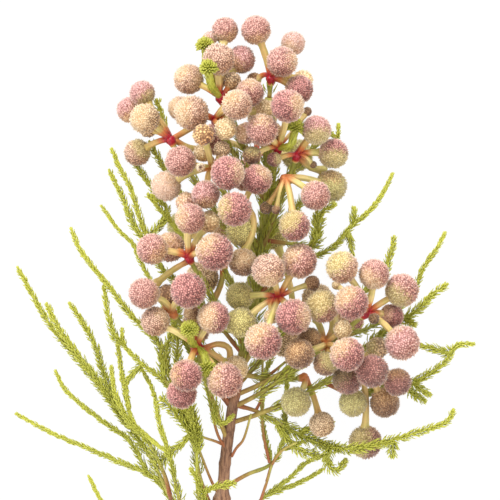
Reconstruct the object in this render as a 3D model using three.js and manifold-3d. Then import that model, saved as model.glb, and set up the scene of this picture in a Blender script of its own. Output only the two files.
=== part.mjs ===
// A cut stem of berzelia, lying down: a woody branch whose side branches end in umbels of
// round flower heads, with feathery shoots of short needle leaves.
//
// Units are millimetres. The stem lies along Y with its crown at +Y, +Z is up and the surface
// that it lies on is Z = 0. The origin is the middle of the foot print of the whole stem.
import * as THREE from 'three';
import { ConvexGeometry } from 'three/addons/geometries/ConvexGeometry.js';
import { mergeVertices } from 'three/addons/utils/BufferGeometryUtils.js';
import Module from 'manifold-3d';

const wasm = await Module();
wasm.setup();

// Driving dimensions
const floretLift = 0.06;        // depth of the floret relief, as a share of a head's radius
const fineHeadRadius = 4.5;     // heads this large carry 32 raised florets, smaller ones 12
const smallBudRadius = 1.6;     // unripe buds under this size are plain knobs
const restTrim = 0.15;          // how far the lowest heads are pressed flat where they lie
const headGap = 0.45;           // air between two flower heads
const jointGap = 0.3;           // air between a piece and the wood that carries it
const settled = 0.002;          // heads have settled when none has to move further than this
const glandRadius = 1.15;       // swollen red gland at an umbel's fork
const glandSwell = 1.25;        // how much further its corners reach
const peduncleRadius = 0.62;    // stalk of one head, at its middle
const peduncleFlare = 1.15;     // how much wider it is at the head, and as much thinner at the fork
const peduncleSink = 0.55;      // where it ends inside the head, as a share of the head's radius
const peduncleMiddle = 0.4;     // where along its chord it bends, as a share
const peduncleRise = 0.12;      // how far it first follows its branch, as a share of the chord
const longPeduncle = 10;        // stalks this long get one more ring
const slimHeadRadius = 3;       // heads under this size have thinner stalks
const bendStep = 1.3;           // a stalk that meets something is bent aside by whole steps of this
const bendSteps = 5;
const bendWays = 10;
const stemRadius = 1.55;        // main stem at the cut end
const crownRadius = 1.05;       // main stem at its top
const stemMeanRadius = 1.35;
const branchRadius = 0.85;      // a side branch where it leaves the stem
const branchThinning = 0.85;    // its share of that thickness left at the umbel
const branchDip = 0.1;          // how far a branch hangs below its chord, as a share of the chord
const branchBack = 0.06;        // how far it bows towards the resting surface, likewise
const twigRadius = 0.6;         // the bare foot of a leafy shoot
const twigThinning = 0.75;      // its share of that thickness left at the first leaf
const stemSides = 7;
const twigSides = 3;
const stemStep = 15;            // length of a straight run of the main stem
const branchStep = 16;
const twigStep = 12;
const shootCore = 0.36;         // slim core of a leafy shoot
const leafReach = 0.95;         // how far a needle leaf stands off that core
const leafForward = 1.7;        // how far its point leans towards the tip
const leafPitch = 3.1;           // distance between two pairs of needles
const tipTaper = 0.35;          // how much thinner a leafy shoot is at its tip, as a share
const tipPoint = 0.6;           // length of the bud that ends a shoot, as a share of leafForward
const budReach = 1.1;           // needle scale of the leafy buds in an umbel
const seamEdge = 0.05;          // edges shorter than this along a seam are closed up
const seamHeight = 0.008;       // triangles flatter than this are turned across their long side
const cutSlant = 0.6;           // slant of the cut end, in radians
const cutInset = 1.5;           // how far up the stem's end the middle of the cut is
const lieFlat = 0.8;            // how much flatter the branch lies than it grew
const firstSeed = 101;
const seedStep = 37;
const originShift = [1.7, 37.5, 0];   // brings the middle of the foot print to the origin

const finishes = {
  wood: { color: 0x8c6955, roughness: 0.8 },
  heads: { color: 0xbe827d, roughness: 0.9 },
  leaves: { color: 0x9aa93c, roughness: 0.7 },
};

// The main stem, from the slanted cut to the crown
const mainStem = [
  [-10.5, -134, 1.4], [-9.8, -115, 3.2], [-8.6, -90, 6.4], [-7, -62, 10], [-5.6, -47.8, 12.4],
  [-4, -37.5, 14.8], [-1.4, -25, 17.2], [1.2, -12, 18.8], [3.2, 2, 19.6], [4.4, 14, 20.4],
  [4.6, 27, 22], [4.8, 38, 24.4],
];

// Each umbel: where its fork is, where its branch leaves the stem, and its heads. A head is
// [x, y, z, radius], with z before the heads have settled against each other.
const umbels = [
  { name: 'umbel_crown_left', fork: [-7.5, 38, 37], leaves: 16, heads: [
    [-6.25, 54.75, 33, 3.5], [-10, 53, 27, 2], [-7.75, 47.25, 41, 4.25],
    [-15.25, 42.5, 34, 4], [-2.25, 47.5, 31, 3.75], [-4.5, 42, 38, 2.5],
  ], buds: [
    [[-7.5, 38, 37], [-9.6, 41, 43], [-10.2, 45.7, 45.5]],
    [[-7.5, 38, 37], [-10.5, 44, 35], [-11.25, 51.5, 36]],
  ] },
  { name: 'umbel_crown_middle', fork: [-8.6, 32.4, 34.4], leaves: 12, heads: [
    [-17.5, 35.5, 25, 3.25], [-14.5, 34, 41, 4.6], [0, 39, 40, 3.75], [-3.25, 35.75, 45, 4],
    [3.5, 35, 36, 2.75], [-6, 30, 38, 3],
  ] },
  { name: 'umbel_crown_right', fork: [5.25, 43, 32], leaves: 38, heads: [
    [1.5, 54.75, 34, 3.9], [10.75, 51.75, 25, 3.25], [8, 46.75, 38, 4.1],
    [12.25, 40, 36, 3.75], [13.25, 42.5, 28, 2.75], [1, 42.5, 28, 2],
  ] },
  { name: 'umbel_upper_middle', fork: [7, 25.5, 34], leaves: 8, heads: [
    [9.25, 35.5, 42, 4.4], [3, 29.75, 43, 4.25], [-1, 29, 38, 3], [5.5, 29.25, 34, 3],
    [0.5, 23.5, 35, 2.5], [14.25, 34.5, 33, 1.25],
  ], buds: [
    [[7, 25.5, 34], [10, 26, 39], [11.5, 31, 40]],
  ] },
  { name: 'umbel_upper_right', fork: [11.75, 23.75, 33], leaves: 4, heads: [
    [16.5, 29.75, 38, 3.9], [20.75, 24, 32, 4], [15.75, 21.25, 34, 1], [6, 22.5, 37, 2],
  ] },
  { name: 'umbel_right_shoulder', fork: [8.75, 18, 37], leaves: 0, heads: [
    [16.25, 13.5, 42, 3.9], [11, 6, 43, 4.1], [20.25, 16, 29, 4.25], [4, 10.5, 37, 1.75],
    [6.5, 10, 38, 1.25],
  ] },
  { name: 'umbel_upper_far_left', fork: [-20, 27.75, 28], leaves: -4, heads: [
    [-27, 39.25, 24, 3.4], [-30.25, 35.25, 20, 3.5], [-26.25, 32.75, 32, 4],
    [-25.5, 30.5, 24, 2.5], [-28.25, 24.5, 22, 3.6],
  ] },
  { name: 'umbel_upper_left', fork: [-9.5, 20.5, 33], leaves: 0, heads: [
    [-11.5, 28.5, 42, 2.9], [-7, 25, 37, 2.25], [-17.25, 22, 39, 4.1], [-11.75, 24.25, 36, 2.5],
    [-12.25, 20.5, 41, 1.25], [-5.5, 19, 47, 4.5], [-11, 13.75, 43, 3.75], [-21, 16, 28, 4],
  ] },
  { name: 'umbel_centre', fork: [-1.5, 11, 33], leaves: -6, heads: [
    [1.75, 17.5, 42, 4], [-3.75, 10, 48, 4.5], [-2.25, 4.75, 37, 4], [-1.75, -3, 38, 3.75],
  ] },
  { name: 'umbel_left', fork: [-15.25, -1.75, 37], leaves: -24, heads: [
    [-24.25, 0.25, 40, 4.1], [-20, 0.75, 32, 4], [-8.75, -0.5, 48, 4.9], [-14.75, 7.75, 45, 4],
    [-15.75, 11.75, 34, 3], [-10.25, 7, 38, 3],
  ] },
  { name: 'umbel_far_left', fork: [-19.5, -15.5, 33], leaves: -32, heads: [
    [-26.25, -10.75, 38, 4.1], [-15.25, -10, 43, 4.75], [-20.5, -11.25, 33, 3],
  ] },
  { name: 'umbel_lower_left', fork: [-13.25, -24, 36], leaves: -48, heads: [
    [-23.5, -17.75, 38, 3.9], [-9, -16.75, 43, 4.25], [-14.5, -15.75, 34, 2.25],
    [-15.75, -31, 43, 4.25], [-17, -35.75, 36, 4], [-6.25, -32.25, 40, 4.75],
    [-3.75, -29.5, 31, 3.5],
  ], buds: [
    [[-13.25, -24, 36], [-14.6, -22.5, 41], [-15, -19, 44]],
    [[-13.25, -24, 36], [-11.4, -26, 39], [-10.6, -30, 41]],
  ] },
  { name: 'umbel_lower_middle', fork: [7, -11.75, 36], leaves: -30, heads: [
    [4.5, -5, 45, 4.4], [12.25, -2.75, 43, 4.6], [15.5, -8.25, 36, 2.1], [10.75, -16.5, 46, 4.75],
    [3.25, -22.5, 47, 4.9], [5.25, -16.5, 39, 2], [-2.5, -11.5, 35, 3.75], [-2.25, -18, 36, 4],
  ] },
  { name: 'umbel_far_right', fork: [29, -15.5, 36], leaves: -36.5, heads: [
    [22.75, -4.25, 38, 4.25], [30.75, -6, 36, 4], [37.75, -10, 32, 4.45], [25, -13, 44, 4.5],
    [18, -14, 38, 4.4], [21.5, -8.75, 33, 1.25], [30.75, -17, 40, 1.5], [35.25, -16.5, 30, 3.25],
    [37.75, -23, 40, 4.6],
  ] },
  { name: 'umbel_lower_right', fork: [18.5, -23.5, 32], leaves: -39.5, heads: [
    [24, -25.75, 42, 4.5], [14.75, -22.25, 37, 3.25], [12.25, -25.75, 38, 4],
    [18.75, -28.25, 33, 3.25], [23, -19.75, 34, 2.5],
  ] },
  { name: 'umbel_low_edge', fork: [26.5, -28, 27], leaves: -43.5, heads: [
    [30.25, -30, 37, 4.4], [24.25, -32.25, 33, 4], [36.75, -33, 29, 3.75], [25.75, -38.25, 25, 3.75],
    [33.75, -38.25, 24, 4], [31.75, -24.5, 28, 3], [29, -48.25, 22, 4.45],
  ] },
  { name: 'umbel_bottom', fork: [14, -32, 20.5], leaves: -31, heads: [
    [11.5, -38, 24, 4], [18, -43.75, 22, 3.4],
  ] },
  { name: 'umbel_back_upper', fork: [1.5, 24, 17], leaves: 8, heads: [
    [-9, 28, 14, 4.2], [3, 34, 13, 4], [12, 24, 5, 4.3], [-1, 19, 6, 4.4],
  ] },
  { name: 'umbel_back_left', fork: [-7, -3, 15], leaves: -18, heads: [
    [-17, 6, 5, 4.2], [-6, 7, 12, 4.4], [-12, -7, 14, 4.4], [-14, -20, 15, 4.2],
  ] },
  { name: 'umbel_back_right', fork: [11, -16, 15], leaves: -34, heads: [
    [6, 4, 10, 4.3], [3, -9, 5, 4.4], [17, -12.5, 15, 4.3], [25, -18, 5, 4.2], [9, -23, 11, 4.4],
  ] },
];

// Each leafy shoot: axes from base to tip. The first axis starts on the wood and is bare for
// the given length; the others fork from it. reach scales the needles.
const shoots = [
  { name: 'shoot_left_long', bare: 40, reach: 1.1, axes: [
    [[-8.4, -88, 8.2], [-16, -72, 9], [-22.5, -57.5, 12], [-28.5, -46.5, 14], [-34, -38, 16],
      [-41.25, -28.75, 18], [-50, -18, 19], [-57.75, -4.25, 20]],
    [[-30, -44, 14.5], [-34.5, -37, 19], [-38.5, -31.5, 22], [-47.5, -19, 24], [-50.25, -13.25, 25]],
    [[-32, -41, 15], [-35.5, -34, 13], [-38.5, -24, 11], [-41.75, -18, 10], [-45, -13.25, 9.5]],
  ] },
  { name: 'shoot_left_middle', bare: 17, reach: 0.9, axes: [
    [[-20, -63, 11.4], [-21.6, -56.5, 17], [-26, -47.5, 21.5], [-30.5, -43, 23], [-34, -35, 23],
      [-34.75, -29.5, 22]],
  ] },
  { name: 'shoot_left_low', bare: 5, reach: 0.8, axes: [
    [[-17.5, -69, 9.4], [-23.75, -57.5, 9], [-34.5, -52.25, 8], [-50.5, -45.5, 6.5], [-58.75, -41, 6]],
    [[-25, -57, 9], [-30.5, -47.5, 8.5], [-37.75, -42.25, 8], [-46.5, -34.75, 7], [-49, -30.25, 6.5]],
  ] },
  { name: 'shoot_left_thin', bare: 16, reach: 0.75, axes: [
    [[-16.5, -71, 9.3], [-18.4, -60, 17.5], [-20.5, -50.5, 23], [-22.75, -43, 24], [-24.25, -35.75, 22],
      [-27, -30, 20.5]],
  ] },
  { name: 'shoot_left_wedge', bare: 15, reach: 1.15, axes: [
    [[-8, -74, 10.8], [-13, -61.5, 16.5], [-13.8, -50, 21], [-15.2, -46, 22.5], [-19.5, -40, 24],
      [-22.5, -36.75, 25]],
    [[-14, -48.5, 21.6], [-14.4, -43.5, 26], [-15.5, -40.5, 28]],
  ] },
  { name: 'shoot_left_fork', bare: 24, reach: 1, axes: [
    [[-7.6, -70, 11.4], [-12.4, -58, 13.5], [-15, -45, 19], [-21, -33.5, 24], [-27, -28.5, 25.5],
      [-31.5, -23.75, 26], [-32, -20, 26.5]],
    [[-31, -24.5, 25.9], [-33.75, -21.5, 27], [-35.5, -16, 27.5], [-36.5, -9.25, 28]],
    [[-27, -28.5, 25.5], [-31, -33.5, 23.5], [-30.5, -39, 23]],
  ] },
  { name: 'shoot_left_upper', bare: 24, reach: 0.95, axes: [
    [[-4.4, -39.5, 17.9], [-13, -30.5, 23.5], [-20.5, -33.5, 29], [-23, -23, 31.5], [-28.5, -17.5, 31],
      [-34.5, -10, 31], [-39.75, -3.5, 31], [-42.5, 0.25, 31], [-44.5, 5, 31]],
  ] },
  { name: 'shoot_left_foot', bare: 12, reach: 0.85, axes: [
    [[-9.4, -106, 5.4], [-17, -92, 5.5], [-30, -76, 5], [-38.5, -62.25, 4.5], [-40.75, -57.75, 4.5]],
  ] },
  { name: 'shoot_far_left_behind', bare: 14, reach: 1.15, axes: [
    [[-1.7, -26.5, 21.1], [-12, -14, 21.5], [-22.5, -4, 24], [-26.5, 5, 24], [-30.5, 16.75, 24],
      [-32.5, 20.25, 24], [-34.5, 25, 24.5]],
    [[-24.5, 0, 24], [-29, 6, 20.5], [-32.25, 13.75, 19], [-35.25, 19.75, 18.5]],
    [[-25.5, 2.5, 24], [-20.75, 10, 22], [-24.5, 13.5, 22]],
  ] },
  { name: 'shoot_far_left_thin', bare: 12, reach: 0.7, axes: [
    [[-4.5, -40.5, 17.6], [-16, -24, 17], [-27.5, -3, 15.5], [-29.5, 1.5, 15.5], [-33, 5, 15],
      [-37.25, 10.75, 15]],
  ] },
  { name: 'shoot_stem_curl', bare: 6, reach: 1.25, axes: [
    [[-7.5, -69, 11.5], [-11.6, -61.5, 20], [-9, -59.5, 23.5], [-4, -58.5, 25]],
    [[-11.4, -61.6, 19.5], [-13, -58, 21.5], [-14.75, -55, 23]],
  ] },
  { name: 'shoot_middle_curl', bare: 2, reach: 0.95, axes: [
    [[-8.6, -35.5, 23.8], [-8.9, -38.5, 27], [-8.6, -42.5, 28.5], [-6.5, -43.2, 29],
      [-4.4, -41.5, 29.5]],
  ] },
  { name: 'shoot_low_right_long', bare: 13, reach: 1.15, axes: [
    [[-4.2, -39, 18.1], [1.5, -40.5, 17.5], [6.25, -43, 17], [12, -46.25, 16.5], [18, -48.75, 18],
      [24, -49.75, 27], [30.75, -48.75, 29], [37.75, -46.75, 29], [43.75, -45, 28],
      [49.5, -42.75, 27], [50.75, -40.25, 27]],
    [[20, -49.1, 20], [19.5, -53.5, 18], [21.5, -55.5, 18], [24, -53, 18.5]],
    [[35.5, -47.4, 29], [35.75, -51.5, 27]],
  ] },
  { name: 'shoot_low_right_thin', bare: 16, reach: 0.7, axes: [
    [[-7.6, -75, 10.7], [2.5, -63.5, 10], [10, -57.75, 9.5], [14.25, -53.75, 9], [19, -52, 9]],
    [[4.2, -62, 10], [14, -58.25, 7], [18.25, -55.75, 6.5]],
  ] },
  { name: 'shoot_twig_middle', bare: 14, reach: 0.8, axes: [
    [[-6.9, -60, 12.8], [-1, -56.8, 12.6], [5.4, -54, 12.6], [8.2, -48.8, 13], [9.4, -44.4, 13]],
    [[5.2, -53.6, 12.6], [4.2, -49, 11], [3.4, -45, 10], [3, -41, 10]],
    [[9, -46, 12.8], [8.7, -41.5, 10.5], [9.2, -36, 10], [9.5, -30, 10]],
    [[7.9, -50.6, 12.8], [10.4, -49.6, 11.5], [13, -48.6, 10.5]],
  ] },
  { name: 'shoot_right_upper', bare: 12, reach: 0.95, axes: [
    [[1.3, -11.6, 23.6], [11, -3.5, 27], [17, -1.25, 29], [21, 1, 29], [25.5, 6, 29],
      [30.25, 10.25, 29], [33.5, 14.75, 29], [35.5, 18.75, 29]],
    [[24.5, 4.8, 29], [25.25, 1, 27.5], [25.5, -1, 27]],
    [[25.7, 6.2, 29], [26, 10.25, 30]],
  ] },
  { name: 'shoot_right_shoulder', bare: 14, reach: 1.25, axes: [
    [[3.3, 2.6, 24.6], [11, 1.5, 31], [16, 1.25, 34], [17, 8.75, 35.5], [21, 11.25, 36.5]],
  ] },
  { name: 'shoot_right_tip', bare: 12, reach: 0.9, axes: [
    [[4.5, 15, 25.6], [13, 22, 26.5], [19.5, 29, 27], [21.75, 28.25, 29.5], [22, 31, 30]],
  ] },
  { name: 'shoot_far_right_short', bare: 10, reach: 1.15, axes: [
    [[22.5, -22.4, 31.4], [28, -11, 29], [34, -5.5, 28], [34.5, -3, 27.5], [35.5, 0.25, 27.5],
      [36, 3, 27.5]],
  ] },
  { name: 'shoot_far_right_upper', bare: 12, reach: 1.05, axes: [
    [[21, -22.5, 30], [31, -19, 20], [40, -12, 22.5], [43.75, -4, 24], [46.75, 0.25, 25],
      [48.75, 4, 25]],
  ] },
  { name: 'shoot_far_right_thick', bare: 12, reach: 1.5, axes: [
    [[21.4, -33.2, 24.3], [32, -22, 22], [38, -17.5, 26], [43, -14, 28], [45.5, -11.25, 28],
      [49, -8.75, 28]],
    [[38.4, -17.2, 26], [41, -18.6, 29]],
  ] },
  { name: 'shoot_right_edge', bare: 10, reach: 1.1, axes: [
    [[19.5, -35, 23.3], [26.5, -36.5, 18.5], [34, -34.5, 18.5], [41.5, -33, 22], [45, -31, 24],
      [49, -28, 25], [51.75, -24, 25], [55.75, -23.5, 25]],
    [[50.4, -26, 25], [43, -24, 27]],
    [[40.5, -33.2, 21.6], [45, -36.25, 22]],
    [[39, -33.4, 21], [40.25, -35.5, 19.5], [43.75, -38, 19.5]],
  ] },
];

// A small repeatable random draw
function makeRandom(seed) {
  let state = seed;
  return () => {
    state = (state * 16807) % 2147483647;
    return state / 2147483647;
  };
}

function vector(point) {
  return new THREE.Vector3(point[0], point[1], point[2]);
}

// A place on the branch as it grew, brought to where it lies
function laid(point) {
  return new THREE.Vector3(point[0], point[1], point[2] * lieFlat);
}

function smoothCurve(points) {
  return new THREE.CatmullRomCurve3(points, false, 'centripetal');
}

// Solids in and out of the boolean library
function toSolid(geometry) {
  const plain = geometry.clone();
  plain.deleteAttribute('normal');
  plain.deleteAttribute('uv');
  const merged = mergeVertices(plain, 1e-5);
  const mesh = new wasm.Mesh({
    numProp: 3,
    vertProperties: new Float32Array(merged.attributes.position.array),
    triVerts: new Uint32Array(merged.index.array),
  });
  return new wasm.Manifold(mesh);
}

function toGeometry(solid) {
  const mesh = solid.getMesh();
  const places = new Float32Array(mesh.vertProperties);
  const geometry = new THREE.BufferGeometry();
  geometry.setAttribute('position', new THREE.BufferAttribute(places, 3));
  geometry.setIndex(new THREE.BufferAttribute(new Uint32Array(mesh.triVerts), 1));
  return geometry;
}

// Joining leaves slivers along the seams. Their short edges are closed up and their flat
// triangles turned, which moves the surface by less than a hair.
function tidySeams(geometry) {
  const merged = mergeVertices(geometry, 1e-4);
  const points = cornersOf(merged);
  let triangles = [];
  for (let i = 0; i < merged.index.count; i += 3) {
    triangles.push([0, 1, 2].map((corner) => merged.index.getX(i + corner)));
  }
  triangles = triangles.filter(hasThreeCorners);
  const mostPasses = 20;
  for (let pass = 0; pass < mostPasses; pass += 1) {
    const closed = closeShortEdges(points, triangles);
    const turned = turnFlatTriangles(points, closed.triangles);
    triangles = turned.triangles;
    if (closed.changes + turned.changes === 0) {
      break;
    }
  }
  const tidy = new THREE.BufferGeometry();
  const places = triangles.flat().flatMap((corner) => points[corner].toArray());
  tidy.setAttribute('position', new THREE.Float32BufferAttribute(places, 3));
  return mergeVertices(tidy, 1e-5);
}

function hasThreeCorners([a, b, c]) {
  return a !== b && b !== c && c !== a;
}

function neighbourSets(triangles) {
  const sets = new Map();
  for (const triangle of triangles) {
    for (const corner of triangle) {
      if (!sets.has(corner)) {
        sets.set(corner, new Set());
      }
      triangle.forEach((other) => sets.get(corner).add(other));
      sets.get(corner).delete(corner);
    }
  }
  return sets;
}

function areaVector(points, [a, b, c]) {
  const along = points[b].clone().sub(points[a]);
  return along.cross(points[c].clone().sub(points[a]));
}

function closeShortEdges(points, triangles) {
  const around = neighbourSets(triangles);
  const touched = new Set();
  const movesTo = new Map();
  for (const triangle of triangles) {
    for (let side = 0; side < 3; side += 1) {
      const keep = triangle[side];
      const gone = triangle[(side + 1) % 3];
      const isShort = points[keep].distanceTo(points[gone]) < seamEdge;
      const shared = [...around.get(keep)].filter((other) => around.get(gone).has(other));
      const ring = new Set([keep, gone, ...around.get(keep), ...around.get(gone)]);
      const isFree = [...ring].every((corner) => !touched.has(corner));
      if (isShort && isFree && shared.length === 2 && !turnsOver(points, triangles, keep, gone)) {
        movesTo.set(gone, keep);
        ring.forEach((corner) => touched.add(corner));
      }
    }
  }
  const moved = triangles.map((triangle) => triangle.map((corner) => movesTo.get(corner) ?? corner));
  return {
    triangles: moved.filter(hasThreeCorners),
    changes: movesTo.size,
  };
}

function turnsOver(points, triangles, keep, gone) {
  const isFlat = 1e-3;
  return triangles.some((triangle) => {
    if (!triangle.includes(gone) || triangle.includes(keep)) {
      return false;
    }
    const before = areaVector(points, triangle);
    const after = areaVector(points, triangle.map((corner) => (corner === gone ? keep : corner)));
    return before.length() > isFlat && before.dot(after) <= 0;
  });
}

function turnFlatTriangles(points, triangles) {
  const around = neighbourSets(triangles);
  const bySide = new Map();
  triangles.forEach((triangle, index) => {
    for (let side = 0; side < 3; side += 1) {
      bySide.set(`${triangle[side]}_${triangle[(side + 1) % 3]}`, index);
    }
  });
  const touched = new Set();
  let changes = 0;
  triangles.forEach((triangle, index) => {
    const flat = longSide(points, triangle);
    if (flat.height >= seamHeight) {
      return;
    }
    const [a, b, c] = flat.corners;
    if ([a, b, c].some((corner) => touched.has(corner))) {
      return;
    }
    const across = bySide.get(`${b}_${a}`);
    const d = triangles[across].find((corner) => corner !== a && corner !== b);
    if (touched.has(d) || around.get(c).has(d)) {
      return;
    }
    const first = [a, d, c];
    const second = [d, b, c];
    const before = areaVector(points, triangles[across]);
    const stays = [first, second].every((each) => areaVector(points, each).dot(before) > 0);
    const height = Math.min(longSide(points, first).height, longSide(points, second).height);
    if (stays && height > flat.height) {
      triangles[index] = first;
      triangles[across] = second;
      [a, b, c, d].forEach((corner) => touched.add(corner));
      changes += 1;
    }
  });
  return { triangles, changes };
}

// A triangle turned so that its longest side comes first, and its height over that side
function longSide(points, triangle) {
  const lengths = triangle.map((corner, side) => {
    const next = triangle[(side + 1) % 3];
    return points[corner].distanceTo(points[next]);
  });
  const longest = lengths.indexOf(Math.max(...lengths));
  const corners = [0, 1, 2].map((step) => triangle[(longest + step) % 3]);
  return { corners, height: areaVector(points, triangle).length() / lengths[longest] };
}

function fuse(solids) {
  return solids.reduce((whole, piece) => whole.add(piece));
}

// A closed cylinder bent along a curve. place(around, along) gives the radius and the lean.
function bentCylinder(curve, sides, rings, place) {
  const geometry = new THREE.CylinderGeometry(1, 1, 1, sides, rings);
  const frames = curve.computeFrenetFrames(rings, false);
  const position = geometry.attributes.position;
  for (let i = 0; i < position.count; i += 1) {
    const ring = Math.round((position.getY(i) + 0.5) * rings);
    const across = position.getX(i);
    const up = position.getZ(i);
    const isCentre = Math.hypot(across, up) < 0.5;
    const side = Math.round((Math.atan2(up, across) / (2 * Math.PI)) * sides + sides) % sides;
    const spot = place(side, ring, isCentre);
    const centre = curve.getPointAt(ring / rings);
    const normal = frames.normals[ring];
    const binormal = frames.binormals[ring];
    const tangent = frames.tangents[ring];
    const point = centre.addScaledVector(normal, up * spot.radius)
      .addScaledVector(binormal, across * spot.radius)
      .addScaledVector(tangent, spot.forward);
    position.setXYZ(i, point.x, point.y, point.z);
  }
  return geometry;
}

// A round tapering tube
function woodTube(curve, startRadius, endRadius, sides, step) {
  const rings = Math.max(2, Math.round(curve.getLength() / step));
  return bentCylinder(curve, sides, rings, (side, ring) => ({
    radius: startRadius + (endRadius - startRadius) * (ring / rings),
    forward: 0,
  }));
}

// A slim core whose surface rises into forward-leaning needle leaves, every second point
function needleTube(curve, reach) {
  const rings = Math.max(3, Math.round(curve.getLength() / leafPitch));
  const sides = 4;
  return bentCylinder(curve, sides, rings, (side, ring, isCentre) => {
    const taper = 1 - tipTaper * (ring / rings);
    const isLeaf = !isCentre && (side + ring) % 2 === 0 && ring > 0;
    const isTip = isCentre && ring === rings;
    if (isLeaf) {
      return { radius: shootCore + leafReach * reach * taper, forward: leafForward * taper };
    }
    return { radius: shootCore * taper, forward: isTip ? leafForward * tipPoint : 0 };
  });
}

function uniqueDirections(points) {
  const found = [];
  for (const point of points) {
    const direction = point.clone().normalize();
    if (!found.some((other) => other.dot(direction) > 0.999)) {
      found.push(direction);
    }
  }
  return found;
}

function cornersOf(geometry) {
  const position = geometry.attributes.position;
  return Array.from({ length: position.count }, (_, i) => (
    new THREE.Vector3().fromBufferAttribute(position, i)
  ));
}

function faceMiddles(geometry) {
  const corners = cornersOf(geometry);
  const middles = [];
  for (let i = 0; i < corners.length; i += 3) {
    middles.push(corners[i].clone().add(corners[i + 1]).add(corners[i + 2]));
  }
  return middles;
}

// Where the florets of a head stand: the corners of an icosahedron, and for the larger heads
// the middles of its faces too, with the hollows between them
const icosahedron = new THREE.IcosahedronGeometry(1, 0);
const corners = uniqueDirections(cornersOf(icosahedron));
const middles = uniqueDirections(faceMiddles(icosahedron));
const headKinds = {
  fine: { shape: new THREE.IcosahedronGeometry(1, 2), florets: corners.concat(middles) },
  plain: { shape: new ConvexGeometry(corners.concat(middles)), florets: corners },
  bud: { shape: icosahedron, florets: corners },
};

function kindOfHead(radius) {
  if (radius >= fineHeadRadius) {
    return headKinds.fine;
  }
  return radius > smallBudRadius ? headKinds.plain : headKinds.bud;
}

// One flower head: a ball whose florets are raised points on that lattice
function flowerHead(head, stalk, random) {
  const kind = kindOfHead(head.radius);
  const geometry = kind.shape.clone();
  const position = geometry.attributes.position;
  const seat = faceMiddles(geometry)[0].normalize();
  const turn = new THREE.Quaternion().setFromUnitVectors(seat, stalk);
  turn.premultiply(new THREE.Quaternion().setFromAxisAngle(stalk, random() * Math.PI * 2));
  for (let i = 0; i < position.count; i += 1) {
    const direction = new THREE.Vector3().fromBufferAttribute(position, i).normalize();
    const isFloret = kind.florets.some((other) => other.dot(direction) > 0.999);
    const length = head.radius * (isFloret ? 1 : 1 - floretLift);
    direction.applyQuaternion(turn).multiplyScalar(length).add(head.centre);
    position.setXYZ(i, direction.x, direction.y, direction.z);
  }
  return toSolid(geometry);
}

// Obstacles are balls along a curve
function ballsAlong(curve, radius, owner, from = 0, to = 1) {
  const count = Math.max(2, Math.ceil(curve.getLength() * (to - from)));
  const balls = [];
  for (let i = 0; i <= count; i += 1) {
    const centre = curve.getPointAt(from + (to - from) * (i / count));
    balls.push({ centre, radius, owner });
  }
  return balls;
}

// Heads slide along Z until each is clear of the others and of the wood, and none sinks below
// the surface that the stem lies on
function settleHeads(heads, fixedBalls) {
  const mostRounds = 600;
  for (let round = 0; round < mostRounds; round += 1) {
    let worst = 0;
    for (let i = 0; i < heads.length; i += 1) {
      for (let j = i + 1; j < heads.length; j += 1) {
        worst = Math.max(worst, easeApart(heads[i], heads[j]));
      }
    }
    for (const head of heads) {
      for (const ball of fixedBalls) {
        worst = Math.max(worst, easeOffWood(head, ball));
      }
      head.centre.z = Math.max(head.centre.z, head.radius - restTrim);
    }
    if (worst < settled) {
      break;
    }
  }
}

function riseNeeded(one, other, gap) {
  const need = one.radius + other.radius + gap;
  const flat = Math.hypot(one.centre.x - other.centre.x, one.centre.y - other.centre.y);
  return flat >= need ? 0 : Math.sqrt(need * need - flat * flat);
}

function easeApart(one, other) {
  const rise = riseNeeded(one, other, headGap);
  const apart = one.centre.z - other.centre.z;
  const short = rise - Math.abs(apart);
  if (short <= 0) {
    return 0;
  }
  const way = apart >= 0 ? 1 : -1;
  one.centre.z += (way * short) / 2;
  other.centre.z -= (way * short) / 2;
  return short;
}

function easeOffWood(head, ball) {
  if (ball.owner === head.umbel) {
    return 0;
  }
  const rise = riseNeeded(head, ball, headGap);
  const apart = head.centre.z - ball.centre.z;
  const short = rise - Math.abs(apart);
  if (short <= 0) {
    return 0;
  }
  head.centre.z += (apart >= 0 ? 1 : -1) * short;
  return short;
}

// A peduncle bends round whatever lies between its fork and its head
function peduncleCurve(head, fork, rising, obstacles) {
  const reach = head.centre.clone().sub(fork);
  const length = reach.length();
  const along = reach.clone().normalize();
  const end = head.centre.clone().addScaledVector(along, -head.radius * peduncleSink);
  const side = new THREE.Vector3(-along.y, along.x, 0);
  if (side.length() < 0.1) {
    side.set(1, 0, 0);
  }
  side.normalize();
  const over = new THREE.Vector3().crossVectors(along, side).normalize();
  const middle = fork.clone()
    .addScaledVector(reach, peduncleMiddle)
    .addScaledVector(rising, length * peduncleRise);
  const bendCost = 0.05;
  let best = null;
  for (let size = 0; size <= bendSteps; size += 1) {
    const ways = size === 0 ? 1 : bendWays;
    for (let turn = 0; turn < ways; turn += 1) {
      const angle = (turn / bendWays) * Math.PI * 2;
      const bend = middle.clone()
        .addScaledVector(side, Math.cos(angle) * size * bendStep)
        .addScaledVector(over, Math.sin(angle) * size * bendStep);
      const curve = new THREE.QuadraticBezierCurve3(fork, bend, end);
      const cost = crowding(curve, head, obstacles) + size * bendCost;
      if (best === null || cost < best.cost - 1e-6) {
        best = { curve, cost };
      }
    }
  }
  return best.curve;
}

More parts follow.
